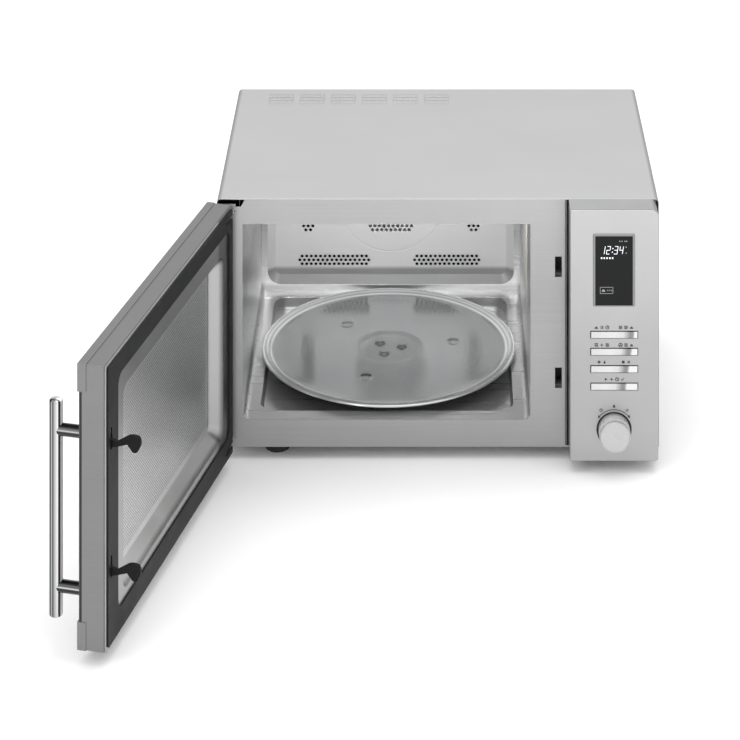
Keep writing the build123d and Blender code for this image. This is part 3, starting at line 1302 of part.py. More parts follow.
with BuildPart() as panel_housing:
    with BuildSketch(front(0)) as housing_face:
        panel_outline()
        round_outer_corners(housing_face)
    extrude(amount=-HOUSING_FRONT)
    with BuildSketch(front(0)):
        span(
            PANEL_LEFT + HOUSING_WALL, PANEL_RIGHT - HOUSING_WALL,
            FOOT_HEIGHT + HOUSING_WALL, CABINET_TOP - HOUSING_WALL, radius=2.0,
        )
    extrude(amount=-HOUSING_FRONT - 2.0, mode=Mode.SUBTRACT)
    with BuildSketch(front(HOUSING_FRONT + 2.0)):
        span(BEZEL[0] + 0.9, BEZEL[1] - 0.9, BEZEL[2] + 0.7, BEZEL[3] - 0.9)
        with Locations(*[(KEY_X, z) for z in KEY_LEVELS]):
            Rectangle(KEY_LENGTH + 2 * KEY_GAP, KEY_HEIGHT + 2 * KEY_GAP)
        with Locations((KNOB_X, KNOB_Z)):
            Circle(5.2)
    extrude(amount=2.0, mode=Mode.SUBTRACT)
    # Spigot that plugs into the front of the cabinet
    with BuildSketch(front(0)):
        span(PANEL_LEFT, PANEL_RIGHT, FOOT_HEIGHT + 1.4, CABINET_TOP - 1.4)
        span(
            PANEL_LEFT + HOUSING_WALL, PANEL_RIGHT - HOUSING_WALL,
            FOOT_HEIGHT + HOUSING_WALL + 1.4, CABINET_TOP - HOUSING_WALL - 1.4, mode=Mode.SUBTRACT,
        )
    extrude(amount=-14)
panel_housing.part.label = "panel_housing"
export_step(panel_housing.part, "parts/panel_housing.step")

with BuildPart() as display_bezel:
    with BuildSketch(front(PANEL_FRONT)):
        span(*BEZEL, radius=2)
        span(*DISPLAY, mode=Mode.SUBTRACT)
    extrude(amount=0.8)
    chamfer(display_bezel.faces().sort_by(Axis.Y)[0].outer_wire().edges(), 0.4)
    with BuildSketch(front(PANEL_FRONT)):
        span(BEZEL[0] + 0.9, BEZEL[1] - 0.9, BEZEL[2] + 0.7, BEZEL[3] - 0.9)
        span(*DISPLAY, mode=Mode.SUBTRACT)
    extrude(amount=-3)
display_bezel.part.label = "display_bezel"
export_step(display_bezel.part, "parts/display_bezel.step")

with BuildPart() as display_window:
    with BuildSketch(front(PANEL_FRONT + 1.6)):
        span(*DISPLAY)
    extrude(amount=1.8)
display_window.part.label = "display_window"
export_step(display_window.part, "parts/display_window.step")

with BuildPart() as control_board:
    with BuildSketch(front(BOARD_Y)):
        span(162, 249, 30, 290)
    extrude(amount=-1.6)
    # Relays, supply transformer and buzzer on its back
    with BuildSketch(front(BOARD_Y + 1.6)):
        span(168, 188, 40, 56)
        span(192, 212, 40, 56)
        span(216, 244, 36, 66)
        with Locations((178, 270)):
            Circle(6)
    extrude(amount=-15)
    # A small switch in front of each key's peg, and the display module on its four legs
    with BuildSketch(front(BOARD_Y)):
        with Locations(*[(KEY_X + x, z) for z in KEY_LEVELS[:3] for x in (-20, 20)], (KEY_X, KEY_LEVELS[3])):
            Rectangle(6, 6)
    extrude(amount=2.2)
    with BuildSketch(front(BOARD_Y)):
        for leg_x in DISPLAY[:2]:
            for leg_z in DISPLAY[2:]:
                with Locations((leg_x, leg_z)):
                    Rectangle(4, 4)
    extrude(amount=BOARD_Y - DISPLAY_BACK)
    with BuildSketch(front(DISPLAY_BACK)):
        span(DISPLAY[0] - 4, DISPLAY[1] + 4, DISPLAY[2] - 4, DISPLAY[3] + 4)
    extrude(amount=DISPLAY_BACK - HOUSING_FRONT - 2.2)
control_board.part.label = "control_board"
export_step(control_board.part, "parts/control_board.step")

# Three rocking keys, each pinned at its middle, and one straight push key
RIB_BACK = KEY_BACK + 5.0
PIN_Y = KEY_BACK + 2.6
PEG_END = BOARD_Y - 3.5
KEY_NAMES = ("upper_key", "middle_key", "lower_key", "start_key")

for name, key_z in zip(KEY_NAMES, KEY_LEVELS):
    rocks = name != "start_key"
    peg_reach = 20 if rocks else 0
    with BuildPart() as key:
        with BuildSketch(front(KEY_BACK)):
            with Locations((KEY_X, key_z)):
                Rectangle(KEY_LENGTH, KEY_HEIGHT)
        extrude(amount=KEY_BACK - KEY_FRONT)
        fillet(key.faces().sort_by(Axis.Y)[0].edges(), 0.6)
        with BuildSketch(front(KEY_BACK)):
            with Locations((KEY_X - peg_reach, key_z), (KEY_X + peg_reach, key_z)):
                Circle(1.6)
        extrude(amount=-(PEG_END - KEY_BACK))
        if rocks:
            with BuildSketch(front(KEY_BACK)):
                with Locations((KEY_X, key_z)):
                    Rectangle(5, 7)
            extrude(amount=-5.0)
            with BuildSketch(level(key_z - 5)):
                with Locations((KEY_X, PIN_Y)):
                    Circle(1.05)
            extrude(amount=10, mode=Mode.SUBTRACT)
    key.part.label = name
    export_step(key.part, f"parts/{name}.step")

with BuildPart() as key_carrier:
    carrier_face = HOUSING_FRONT + 2.0
    with BuildSketch(front(carrier_face)):
        span(KEY_X - 35, KEY_X + 35, KEY_LEVELS[3] - 12, KEY_LEVELS[0] + 12)
        with Locations(*[(KEY_X, z) for z in KEY_LEVELS]):
            Rectangle(KEY_LENGTH + 3, KEY_HEIGHT + 3, mode=Mode.SUBTRACT)
    extrude(amount=-3)
    # Lugs behind each rocking key carry its pivot pin
    for key_z in KEY_LEVELS[:3]:
        for lug_side in (-1, 1):
            with BuildSketch(front(carrier_face)):
                with Locations((KEY_X, key_z + lug_side * 7.4)):
                    Rectangle(8, 3.0)
            extrude(amount=-6)
            with BuildSketch(level(key_z + lug_side * 7.4 - 3.4)):
                with Locations((KEY_X, PIN_Y)):
                    Rectangle(4, 3.4)
            extrude(amount=6.8)
        with BuildSketch(level(key_z - 8)):
            with Locations((KEY_X, PIN_Y)):
                Circle(1.0)
        extrude(amount=16)
key_carrier.part.label = "key_carrier"
export_step(key_carrier.part, "parts/key_carrier.step")

# ---------------------------------------------------------------- rotary knob
KNOB_BASE = HOUSING_FRONT - RUNNING_GAP
ENCODER_SHAFT = 3.0

with BuildPart() as knob:
    with BuildSketch(front(KNOB_BASE)):
        with Locations((KNOB_X, KNOB_Z)):
            Circle(KNOB_RADIUS + 0.6)
    extrude(amount=KNOB_LENGTH + 0.7, taper=1.6)
    fillet(knob.faces().sort_by(Axis.Y)[0].edges(), 1.0)
    with BuildSketch(front(KNOB_BASE)):
        with Locations((KNOB_X, KNOB_Z)):
            Circle(KNOB_RADIUS - 2.0)
            Circle(6.0, mode=Mode.SUBTRACT)
    extrude(amount=KNOB_LENGTH - 3, mode=Mode.SUBTRACT)
    # Spindle into the encoder
    with BuildSketch(front(KNOB_BASE)):
        with Locations((KNOB_X, KNOB_Z)):
            Circle(ENCODER_SHAFT)
    extrude(amount=-12)
knob.part.label = "knob"
export_step(knob.part, "parts/knob.step")

with BuildPart() as encoder:
    with BuildSketch(front(BOARD_Y)):
        with Locations((KNOB_X, KNOB_Z)):
            Rectangle(13, 13)
    extrude(amount=11)
    with BuildSketch(front(BOARD_Y - 11)):
        with Locations((KNOB_X, KNOB_Z)):
            Circle(4.6)
    extrude(amount=6)
    with BuildSketch(front(BOARD_Y)):
        with Locations((KNOB_X, KNOB_Z)):
            Circle(ENCODER_SHAFT + 0.05)
    extrude(amount=18, mode=Mode.SUBTRACT)
encoder.part.label = "encoder"
export_step(encoder.part, "parts/encoder.step")
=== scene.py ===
"""Looks of a countertop combination microwave oven whose side-hung door stands open.

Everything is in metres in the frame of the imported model: X to the right, Y to the rear, Z up.
Pieces on the door are built where they are when it is shut, and then turned open with OPEN_DOOR.
"""

import json
import math

import bmesh
import bpy
from mathutils import Matrix, Vector


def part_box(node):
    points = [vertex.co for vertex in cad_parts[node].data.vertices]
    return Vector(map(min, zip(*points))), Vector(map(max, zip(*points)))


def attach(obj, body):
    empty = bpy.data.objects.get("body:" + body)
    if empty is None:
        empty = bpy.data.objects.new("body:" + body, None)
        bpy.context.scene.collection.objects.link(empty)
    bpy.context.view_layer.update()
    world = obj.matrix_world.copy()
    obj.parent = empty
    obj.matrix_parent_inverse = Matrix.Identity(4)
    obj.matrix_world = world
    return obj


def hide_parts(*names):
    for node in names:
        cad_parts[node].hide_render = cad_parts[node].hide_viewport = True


MM = 0.001

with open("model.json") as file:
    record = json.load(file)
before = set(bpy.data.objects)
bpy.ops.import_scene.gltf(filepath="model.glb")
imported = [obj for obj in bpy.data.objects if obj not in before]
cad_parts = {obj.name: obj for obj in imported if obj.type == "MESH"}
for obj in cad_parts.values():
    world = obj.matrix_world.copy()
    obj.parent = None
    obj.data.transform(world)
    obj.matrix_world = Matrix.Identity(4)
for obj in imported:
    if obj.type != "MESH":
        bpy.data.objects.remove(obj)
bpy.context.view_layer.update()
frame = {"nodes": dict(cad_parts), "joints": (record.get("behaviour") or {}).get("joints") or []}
NODES = frame["nodes"]
HINGE = next(joint for joint in frame["joints"] if joint["name"] == "door_hinge")
PIVOT = Vector(HINGE["pos_m"])
DOOR_ANGLE = math.radians(-HINGE["range_deg"][0])
OPEN_DOOR = (
    Matrix.Translation(PIVOT)
    @ Matrix.Rotation(DOOR_ANGLE, 4, Vector(HINGE["axis"]))
    @ Matrix.Translation(-PIVOT)
)
SHUT_DOOR = OPEN_DOOR.inverted()
Z_TO_FRONT = Matrix.Rotation(math.radians(90), 4, "X")


# ------------------------------------------------------------------ objects and meshes
def new_object(name, data):
    """Put a new object into the scene."""
    item = bpy.data.objects.new(name, data)
    bpy.context.scene.collection.objects.link(item)
    return item


def shut_box(node):
    """Lowest and highest corner of one of the door's nodes, as they are when the door is shut."""
    corners = [SHUT_DOOR @ vertex.co for vertex in NODES[node].data.vertices]
    low = Vector([min(point[axis] for point in corners) for axis in range(3)])
    high = Vector([max(point[axis] for point in corners) for axis in range(3)])
    return low, high


def mesh_from(name, points, faces):
    """A mesh whose faces all look outward."""
    mesh = bpy.data.meshes.new(name)
    mesh.from_pydata([tuple(point) for point in points], [], faces)
    mesh.validate()
    tidy = bmesh.new()
    tidy.from_mesh(mesh)
    bmesh.ops.recalc_face_normals(tidy, faces=tidy.faces)
    tidy.to_mesh(mesh)
    tidy.free()
    return mesh


def lathe(name, profile, segments):
    """Turn a profile of (radius, height) points about Z."""
    points = []
    rows = []
    for radius, height in profile:
        if radius == 0:
            rows.append([len(points)] * segments)
            points.append((0, 0, height))
            continue
        rows.append(list(range(len(points), len(points) + segments)))
        for step in range(segments):
            turn = 2 * math.pi * step / segments
            points.append((radius * math.cos(turn), radius * math.sin(turn), height))
    faces = []
    for row, following in zip(rows, rows[1:]):
        for step in range(segments):
            ahead = (step + 1) % segments
            corners = [row[step], row[ahead], following[ahead], following[step]]
            corners = list(dict.fromkeys(corners))
            if len(corners) > 2:
                faces.append(corners)
    return mesh_from(name, points, faces)


def arc(centre, radius, start, end, steps):
    """Points of a circular arc in a profile, with angles in degrees."""
    points = []
    for step in range(steps + 1):
        turn = math.radians(start + (end - start) * step / steps)
        points.append((centre[0] + radius * math.cos(turn), centre[1] + radius * math.sin(turn)))
    return points


def plates(name, outlines, depth, to_point):
    """Thin raised marks: each outline is a closed list of 2-D points, and to_point puts it in space."""
    points = []
    faces = []
    for outline in outlines:
        start = len(points)
        count = len(outline)
        points += [to_point(u, v, 0) for u, v in outline]
        points += [to_point(u, v, depth) for u, v in outline]
        faces.append([start + step for step in range(count)])
        faces.append([start + count + step for step in reversed(range(count))])
        for step in range(count):
            ahead = (step + 1) % count
            faces.append((start + step, start + ahead, start + count + ahead, start + count + step))
    return mesh_from(name, points, faces)


# ------------------------------------------------------------------ materials
def grey_ramp(tree, value, stops):
    """Grey value from a list of (position, grey) stops."""
    ramp = tree.nodes.new("ShaderNodeValToRGB")
    elements = ramp.color_ramp.elements
    while len(elements) < len(stops):
        elements.new(0.5)
    for element, (position, grey) in zip(elements, stops):
        element.position = position
        element.color = (grey, grey, grey, 1)
    tree.links.new(value, ramp.inputs["Fac"])
    return ramp.outputs["Color"]


class Shading:
    """One node material, built round its Principled shader."""

    def __init__(self, name, roughness, metallic=0.0, colour=(0.8, 0.8, 0.8), specular=0.5):
        self.material = bpy.data.materials.new(name)
        self.material.use_nodes = True
        self.tree = self.material.node_tree
        self.surface = self.tree.nodes["Principled BSDF"]
        self.put("Base Color", (*colour, 1))
        self.put("Roughness", roughness)
        self.put("Metallic", metallic)
        self.put("Specular IOR Level", specular)

    def feed(self, given, socket):
        """Link a socket to the output of a node, or give it a fixed value."""
        if isinstance(given, bpy.types.NodeSocket):
            self.tree.links.new(given, socket)
        else:
            socket.default_value = given

    def put(self, name, given):
        """Feed one input of the surface."""
        self.feed(given, self.surface.inputs[name])

    def node(self, kind, output, feeds, **settings):
        """Add a node, feed its inputs, and return one of its outputs."""
        made = self.tree.nodes.new("ShaderNode" + kind)
        for key, value in settings.items():
            setattr(made, key, value)
        for socket, given in feeds.items():
            self.feed(given, made.inputs[socket])
        return made.outputs[output]

    def place(self, stretch=(1, 1, 1), on_door=False):
        """Coordinates of the surface in metres, stretched. On the door they are those of the shut door."""
        where = self.node("TexCoord", "Object", {})
        if on_door:
            shut = {"Vector": where, "Location": SHUT_DOOR.translation, "Rotation": SHUT_DOOR.to_euler()}
            where = self.node("Mapping", "Vector", shut)
        return self.node("Mapping", "Vector", {"Vector": where, "Scale": stretch})

    def axis(self, where, name):
        """One of the coordinates of a place."""
        return self.node("SeparateXYZ", name, {"Vector": where})

    def noise(self, where, scale=1.0, detail=3.0, roughness=0.55):
        """Noise, most of it between 0.3 and 0.7."""
        feeds = {"Vector": where, "Scale": scale, "Detail": detail, "Roughness": roughness}
        return self.node("TexNoise", "Fac", feeds)

    def spread(self, value, low, high, from_low=0.3, from_high=0.7):
        """Turn a value between from_low and from_high into one between low and high."""
        feeds = {"Value": value, "From Min": from_low, "From Max": from_high, "To Min": low, "To Max": high}
        return self.node("MapRange", "Result", feeds)

    def around(self, value, middle, share):
        """Turn noise into a value that varies round a middle by a share of it."""
        return self.spread(value, middle * (1 - share), middle * (1 + share))

    def calc(self, first, second=0.0, operation="ADD"):
        """Sum of two values, or another operation on one or both of them."""
        return self.node("Math", "Value", {0: first, 1: second}, operation=operation)

    def mix(self, factor, first, second, blend="MIX"):
        """Mix two colours."""
        feeds = {0: factor, 6: first, 7: second}
        return self.node("Mix", 2, feeds, data_type="RGBA", blend_type=blend)

    def ramp(self, value, stops):
        return grey_ramp(self.tree, value, stops)

    def faded(self, value, where, painted_shading):
        """Paint light and shade into a value: make it larger or smaller along the axes.

        Each fade is (axis name, from, to, share of the value up to there, share of it from there on).
        """
        for axis_name, start, end, first_share, last_share in painted_shading:
            share = self.spread(self.axis(where, axis_name), first_share, last_share, start, end)
            value = self.calc(value, share, "MULTIPLY")
        return value

    def tone(self, value, tint=(1.0, 1.0, 1.0)):
        """Use a grey value as the base colour, with a slight tint."""
        self.put("Base Color", self.mix(1.0, (*tint, 1), value, "MULTIPLY"))

    def see_through(self, transmission):
        """Let light pass as through glass."""
        self.put("Transmission Weight", transmission)
        self.put("IOR", GLASS_IOR)

    def bump(self, height, distance, strength, bevel=0.0):
        """Raise the surface a little, and soften its edges if a bevel is given."""
        feeds = {"Height": height, "Distance": distance, "Strength": strength}
        if bevel > 0:
            feeds["Normal"] = self.node("Bevel", "Normal", {"Radius": bevel}, samples=6)
        self.put("Normal", self.node("Bump", "Normal", feeds))


def brushed(name, tone, roughness, grain=(4, 900, 900), on_door=False, contrast=0.05, patch=0.03,
            painted_shading=(), bevel=0.0, metallic=1.0, dull_from=None, relief=0.35):
    """Brushed or rolled steel: long fine scratches, slow changes of tone, and painted light and shade.

    Past dull_from along X the surface is bare and dull.
    """
    look = Shading(name, roughness, metallic=metallic, colour=(tone, tone, tone))
    streaks = look.noise(look.place(grain, on_door), detail=4.0, roughness=0.7)
    clouds = look.noise(look.place(on_door=on_door), scale=9.0, detail=2.0)
    drift = look.spread(clouds, -tone * patch, tone * patch)
    where = look.place()
    look.tone(look.faded(look.calc(look.around(streaks, tone, contrast), drift), where, painted_shading))
    if dull_from is not None:
        along = look.axis(where, "X")
        look.put("Metallic", look.spread(along, metallic, DULL_METALLIC, dull_from, dull_from + DULL_EDGE))
    look.put("Roughness", look.around(streaks, roughness, 0.15))
    look.bump(streaks, SCRATCH_DEPTH, relief, bevel)
    return look.material


def moulded(name, tone, roughness, tint=(1, 1, 1), grain=900.0, relief=0.03 * MM, metallic=0.0,
            specular=0.5, painted_shading=()):
    """Moulded plastic, rubber, lacquer or cast metal: a fine leathery grain, slight unevenness, and painted
    light and shade.
    """
    look = Shading(name, roughness, metallic=metallic, colour=(tone, tone, tone), specular=specular)
    where = look.place()
    fine = look.noise(where, grain, detail=2.0)
    clouds = look.noise(where, scale=22.0)
    look.tone(look.faded(look.around(clouds, tone, 0.06), where, painted_shading), tint)
    look.put("Roughness", look.around(clouds, roughness, 0.1))
    look.bump(fine, relief, strength=0.5)
    return look.material


def polished(name, tone, roughness):
    """Bright metal with faint wiping marks."""
    look = Shading(name, roughness, metallic=1.0, colour=(tone, tone, tone))
    wipes = look.noise(look.place(), scale=60.0, detail=4.0)
    look.tone(look.around(wipes, tone, 0.02))
    look.put("Roughness", look.around(wipes, roughness, 0.2))
    return look.material


def wound(name, roughness, colour, hollow_shade, crest_light):
    """Lacquered windings: tightly laid turns, with painted shade in the hollows between them."""
    look = Shading(name, roughness, metallic=1.0, colour=colour)
    turns = look.noise(look.place((30, 30, 2200)), detail=1.0)
    # Painted shade in the hollows between the turns, painted light on their crests.
    look.put("Base Color", look.mix(look.spread(turns, 0.0, 1.0), (*hollow_shade, 1), (*crest_light, 1)))
    look.bump(turns, 0.3 * MM, strength=0.6)
    return look.material


def glassy(name, colour, roughness, transmission, alpha=1.0):
    """Glass or clear film with faint smears in its gloss."""
    look = Shading(name, roughness, colour=colour)
    look.see_through(transmission)
    look.put("Alpha", alpha)
    smears = look.noise(look.place(), scale=35.0)
    look.put("Roughness", look.around(smears, roughness, 0.2))
    return look.material


def pressed_glass(name, roughness, transmission):
    """Thick pressed glass: faint circles left by the mould, and painted bright and dark rings of refracted
    light in its rim.
    """
    look = Shading(name, roughness, metallic=0.5)
    look.see_through(transmission)
    where = look.place()
    across = look.calc(look.axis(where, "X"), 2.0, "POWER")
    along = look.calc(look.axis(where, "Y"), 2.0, "POWER")
    radius = look.calc(look.calc(across, along), 0.5, "POWER")
    phase = look.calc(radius, 2 * math.pi / MOULD_RING_PITCH, "MULTIPLY")
    rings = look.calc(phase, operation="SINE")
    clouds = look.noise(where, scale=14.0, detail=2.0)
    ringed = look.spread(rings, 0.985, 1.015, -1.0, 1.0)
    body = look.calc(look.around(clouds, 1.0, 0.06), ringed, "MULTIPLY")
    # Painted bright and dark rings of refracted light in the rim.
    rim = look.ramp(look.spread(radius, 0.0, 1.0, *PLATE_RIM), PLATE_RIM_PAINTED_LIGHT)
    look.tone(look.calc(body, rim, "MULTIPLY"), (0.98, 1.0, 1.0))
    look.put("Roughness", look.around(clouds, roughness, 0.2))
    look.bump(rings, 0.03 * MM, strength=0.4)
    return look.material


def ribbed_light(name, tone, roughness, stops, softer=None):
    """Polished bar with long dark and bright streaks of painted reflection, laid round its own Z axis.

    softer is (from, to, metallic): the part of the turn past those two shares shines less.
    """
    look = Shading(name, roughness, metallic=1.0, colour=(tone, tone, tone))
    where = look.place()
    turn = look.calc(look.axis(where, "Y"), look.axis(where, "X"), "ARCTAN2")
    share = look.spread(turn, 0.0, 1.0, -math.pi, math.pi)
    # Painted reflection: dark and bright streaks round the bar's axis.
    look.tone(look.ramp(share, stops))
    if softer is not None:
        start, end, metallic = softer
        look.put("Metallic", look.spread(share, 1.0, metallic, start, end))
    wear = look.noise(look.place((400, 400, 8)))
    look.put("Roughness", look.around(wear, roughness, 0.2))
    return look.material


def knob_metal(name):
    """Turned knob with faint turning marks; painted light makes its side brighter than its face, with a
    dark band of painted shade under the shoulder.
    """
    look = Shading(name, roughness=0.32, metallic=0.7, colour=(0.5, 0.5, 0.5))
    height = look.spread(look.axis(look.place(), "Z"), 0.0, 1.0, 0.0, KNOB_DEPTH)
    rings = look.noise(look.place((40, 40, 900)), detail=1.0)
    # Painted light by height: a brighter side, a dark band of painted shade under the shoulder, a darker
    # face.
    look.tone(look.calc(look.ramp(height, KNOB_PAINTED_LIGHT), look.around(rings, 1.0, 0.02), "MULTIPLY"))
    look.put("Roughness", look.spread(rings, 0.25, 0.31))
    return look.material


def key_metal(name):
    """Polished key caps. A painted soft grey reflection crosses all four, further left on each lower key.
    """
    look = Shading(name, roughness=0.2, metallic=1.0)
    where = look.place()
    across = look.spread(look.axis(where, "X"), 0.0, 1.0, *KEY_SPAN)
    lean = look.spread(look.axis(where, "Z"), 0.0, KEY_REFLECTION_DRIFT, *KEY_LEVELS)
    # A painted dark reflection, slanting across the keys.
    look.tone(look.ramp(look.calc(across, lean, "SUBTRACT"), KEY_PAINTED_REFLECTION))
    return look.material


def perforated(name, tone, roughness):
    """Pressed steel: a sunk window painted brighter, with a screen of small round holes in slanting rows;
    the hinge side is painted darker as shade.
    """
    look = Shading(name, roughness, metallic=1.0, colour=(tone, tone, tone))
    where = look.place(on_door=True)
    along, inward, upward = (look.axis(where, letter) for letter in "XYZ")
    waves = []
    for operation in ("ADD", "SUBTRACT"):
        phase = look.calc(look.calc(along, upward, operation), math.pi / SCREEN_PITCH, "MULTIPLY")
        waves.append(look.calc(look.calc(phase, operation="SINE"), 2.0, "POWER"))
    hole = look.spread(look.calc(*waves, "MULTIPLY"), 0.0, 1.0, *HOLE_EDGE)
    inside = look.calc(inward, SCREEN_HIGH.y, "LESS_THAN")
    for value, low, high in ((along, SCREEN_LOW.x, SCREEN_HIGH.x), (upward, SCREEN_LOW.z, SCREEN_HIGH.z)):
        inside = look.calc(inside, look.calc(value, low, "GREATER_THAN"), "MULTIPLY")
        inside = look.calc(inside, look.calc(value, high, "LESS_THAN"), "MULTIPLY")
    mask = look.calc(hole, inside, "MULTIPLY")
    clouds = look.noise(where, scale=12.0, detail=2.0)
    # Painted light: the sunk window is brighter.
    depth = look.spread(inward, SCREEN_PAINTED_LIGHT, 0.0, SUNK_FROM, SUNK_TO)
    # Painted shade: darker on the hinge side of the screen.
    wall = look.spread(along, HINGE_WALL_PAINTED_SHADE, 1.0, SCREEN_LOW.x - SCREEN_MARGIN.x, SCREEN_LOW.x)
    sheet = look.calc(look.calc(look.around(clouds, tone, 0.04), depth), wall, "MULTIPLY")
    look.put("Base Color", look.mix(mask, sheet, HOLE_COLOUR))
    look.put("Roughness", look.around(clouds, roughness, 0.1))
    look.bump(look.calc(mask, -1.0, "MULTIPLY"), 0.1 * MM, strength=0.3, bevel=3 * MM)
    return look.material


def glowing(name, colour, strength):
    """Lit display segments, a little uneven in brightness."""
    look = Shading(name, roughness=0.4, colour=colour)
    look.put("Emission Color", (*colour, 1))
    flicker = look.noise(look.place(), scale=300.0, detail=1.0)
    look.put("Emission Strength", look.spread(flicker, strength * 0.88, strength * 1.08))
    return look.material


# Measures and tones that the materials follow. The painted light, shade and reflections are rows of
# (position, grey) stops.
GLASS_IOR = 1.48
SCRATCH_DEPTH = 0.02 * MM
DULL_METALLIC = 0.1
DULL_EDGE = 0.3 * MM

KEY_BOXES = [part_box(name) for name in ("upper_key", "start_key")]
KEY_SPAN = (KEY_BOXES[0][0].x, KEY_BOXES[0][1].x)
KEY_LEVELS = [(low.z + high.z) / 2 for low, high in KEY_BOXES]
# Painted reflection on the keys: a dark band that lies further left on each lower key.
KEY_REFLECTION_DRIFT = -0.18
KEY_PAINTED_REFLECTION = ((0.0, 0.58), (0.5, 0.64), (0.70, 0.58), (0.84, 0.24), (0.90, 0.24), (0.95, 0.7))

KNOB_DEPTH = 19.7 * MM
# Painted light on the knob, by height above its back.
KNOB_PAINTED_LIGHT = ((0.0, 0.80), (0.89, 0.90), (0.93, 0.14), (0.965, 0.14), (0.99, 0.50))

MOULD_RING_PITCH = 9 * MM
PLATE_RIM = (140 * MM, 157.5 * MM)
# Painted bright and dark rings of refracted light across the plate's rim.
PLATE_RIM_PAINTED_LIGHT = (
    (0.0, 0.36), (0.20, 0.38), (0.34, 1.0), (0.46, 0.50),
    (0.60, 0.95), (0.72, 0.50), (0.86, 1.0), (1.0, 0.7),
)

SCREEN_PITCH = 3.6 * MM
# The sunk window of the door's screen is painted brighter.
SCREEN_PAINTED_LIGHT = 0.50
SUNK_FROM, SUNK_TO = -7 * MM, -3.4 * MM
SCREEN_MARGIN = Vector((7, 0, 7)) * MM
SCREEN_LOW, SCREEN_HIGH = shut_box("window_film")
SCREEN_LOW += SCREEN_MARGIN
SCREEN_HIGH -= SCREEN_MARGIN
HOLE_EDGE = (0.32, 0.50)
HOLE_COLOUR = (0.20, 0.20, 0.205, 1)
# The hinge side of the screen is painted darker, as shade.
HINGE_WALL_PAINTED_SHADE = 0.45

COVER_LOW, COVER_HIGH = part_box("outer_cover")
PANEL_LOW, PANEL_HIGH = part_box("panel_fascia")
# The painted shade along a rounded edge thins out between these two distances from it.
BEND = 1 * MM
EDGE = 6 * MM
LOUVRE_FOOT = COVER_HIGH.z - 1.6 * MM
FRONT_TOP = 306 * MM

# Painted reflections laid round the handle bar and its posts: dark and bright streaks.
BAR_PAINTED_REFLECTIONS = (
    (0.0, 0.10), (0.04, 0.01), (0.112, 0.01), (0.135, 0.14), (0.157, 0.50), (0.18, 0.06),
    (0.205, 0.16), (0.230, 0.36), (0.256, 0.48), (0.278, 0.54), (0.305, 0.80), (0.326, 0.22),
    (0.346, 0.01), (0.374, 0.25), (0.405, 1.0), (0.444, 1.0), (0.75, 0.45), (1.0, 0.20),
)
POST_PAINTED_REFLECTIONS = (
    (0.0, 0.25), (0.30, 0.22), (0.396, 0.09), (0.44, 0.06), (0.485, 0.03), (0.515, 0.08),
    (0.538, 0.70), (0.556, 0.40), (0.575, 0.06), (0.606, 0.04), (0.632, 0.03), (0.661, 0.015),
    (0.693, 0.0), (0.734, 0.02), (0.80, 0.20), (1.0, 0.25),
)

# Painted shade along the cover's rounded side edges and on its louvres, and a painted highlight along its
# front edge.
STEEL_COVER = brushed(
    "cover_steel", tone=0.53, roughness=0.42, contrast=0.03, patch=0.015, bevel=0.6 * MM,
    painted_shading=(
        ("X", COVER_LOW.x + BEND, COVER_LOW.x + EDGE, 0.42, 1.0),
        ("X", COVER_HIGH.x - EDGE, COVER_HIGH.x - BEND, 1.0, 0.5),
        ("Z", LOUVRE_FOOT, LOUVRE_FOOT + 0.3 * MM, 1.0, 0.55),
        ("Y", COVER_LOW.y + 0.9 * MM, COVER_LOW.y + 1.5 * MM, 1.14, 1.0),
    ),
)
# The frame is painted brighter towards its top.
STEEL_FRAME = brushed(
    "frame_steel", tone=0.37, roughness=0.36, contrast=0.06,
    painted_shading=(("Z", 100 * MM, 200 * MM, 0.97, 0.99), ("Z", 200 * MM, FRONT_TOP, 1.0, 1.19)),
    dull_from=PANEL_LOW.x - 4.6 * MM,
)
# The fascia is painted brighter towards its top.
STEEL_FASCIA = brushed(
    "fascia_steel", tone=0.42, roughness=0.38, contrast=0.02, bevel=0.8 * MM,
    painted_shading=(("Z", 120 * MM, FRONT_TOP, 0.98, 1.22),),
)
# The liner has painted shade on its floor, and painted light on its walls: brighter low down, darker
# towards the ceiling.
STEEL_LINER = brushed(
    "liner_steel", tone=0.60, roughness=0.30, grain=(2, 300, 300), contrast=0.02, bevel=1.2 * MM,
    relief=0.02, metallic=0.8,
    painted_shading=(("Z", 52 * MM, 58 * MM, 0.58, 1.0), ("Z", 55 * MM, 180 * MM, 1.65, 0.48)),
)
# The back panel has painted shade in its lowest part, the bottom of its recess.
STEEL_BACK = brushed(
    "back_steel", tone=0.68, roughness=0.50, grain=(3, 500, 500), contrast=0.02, bevel=2 * MM,
    relief=0.05, metallic=0.35, painted_shading=(("Z", 71 * MM, 76 * MM, 0.45, 1.0),),
)
STEEL_DOOR = brushed(
    "door_steel", tone=0.22, roughness=0.38, grain=(900, 4, 900), on_door=True, bevel=0.6 * MM,
)
STEEL_PAN = perforated("pan_steel", tone=0.40, roughness=0.34)
ZINC = brushed("zinc_sheet", tone=0.48, roughness=0.45, grain=(40, 40, 40), contrast=0.10)
ALUMINIUM = brushed("aluminium", tone=0.60, roughness=0.40, grain=(300, 300, 30))
BRIGHT = polished("bright_steel", tone=0.62, roughness=0.14)
BEZEL = polished("bezel_metal", tone=0.26, roughness=0.30)
KEY_METAL = key_metal("key_metal")
KNOB_METAL = knob_metal("knob_metal")
BAR_METAL = ribbed_light(
    "bar_metal", tone=0.6, roughness=0.12, stops=BAR_PAINTED_REFLECTIONS, softer=(0.355, 0.375, 0.05),
)
POST_METAL = ribbed_light("post_metal", tone=0.6, roughness=0.12, stops=POST_PAINTED_REFLECTIONS)
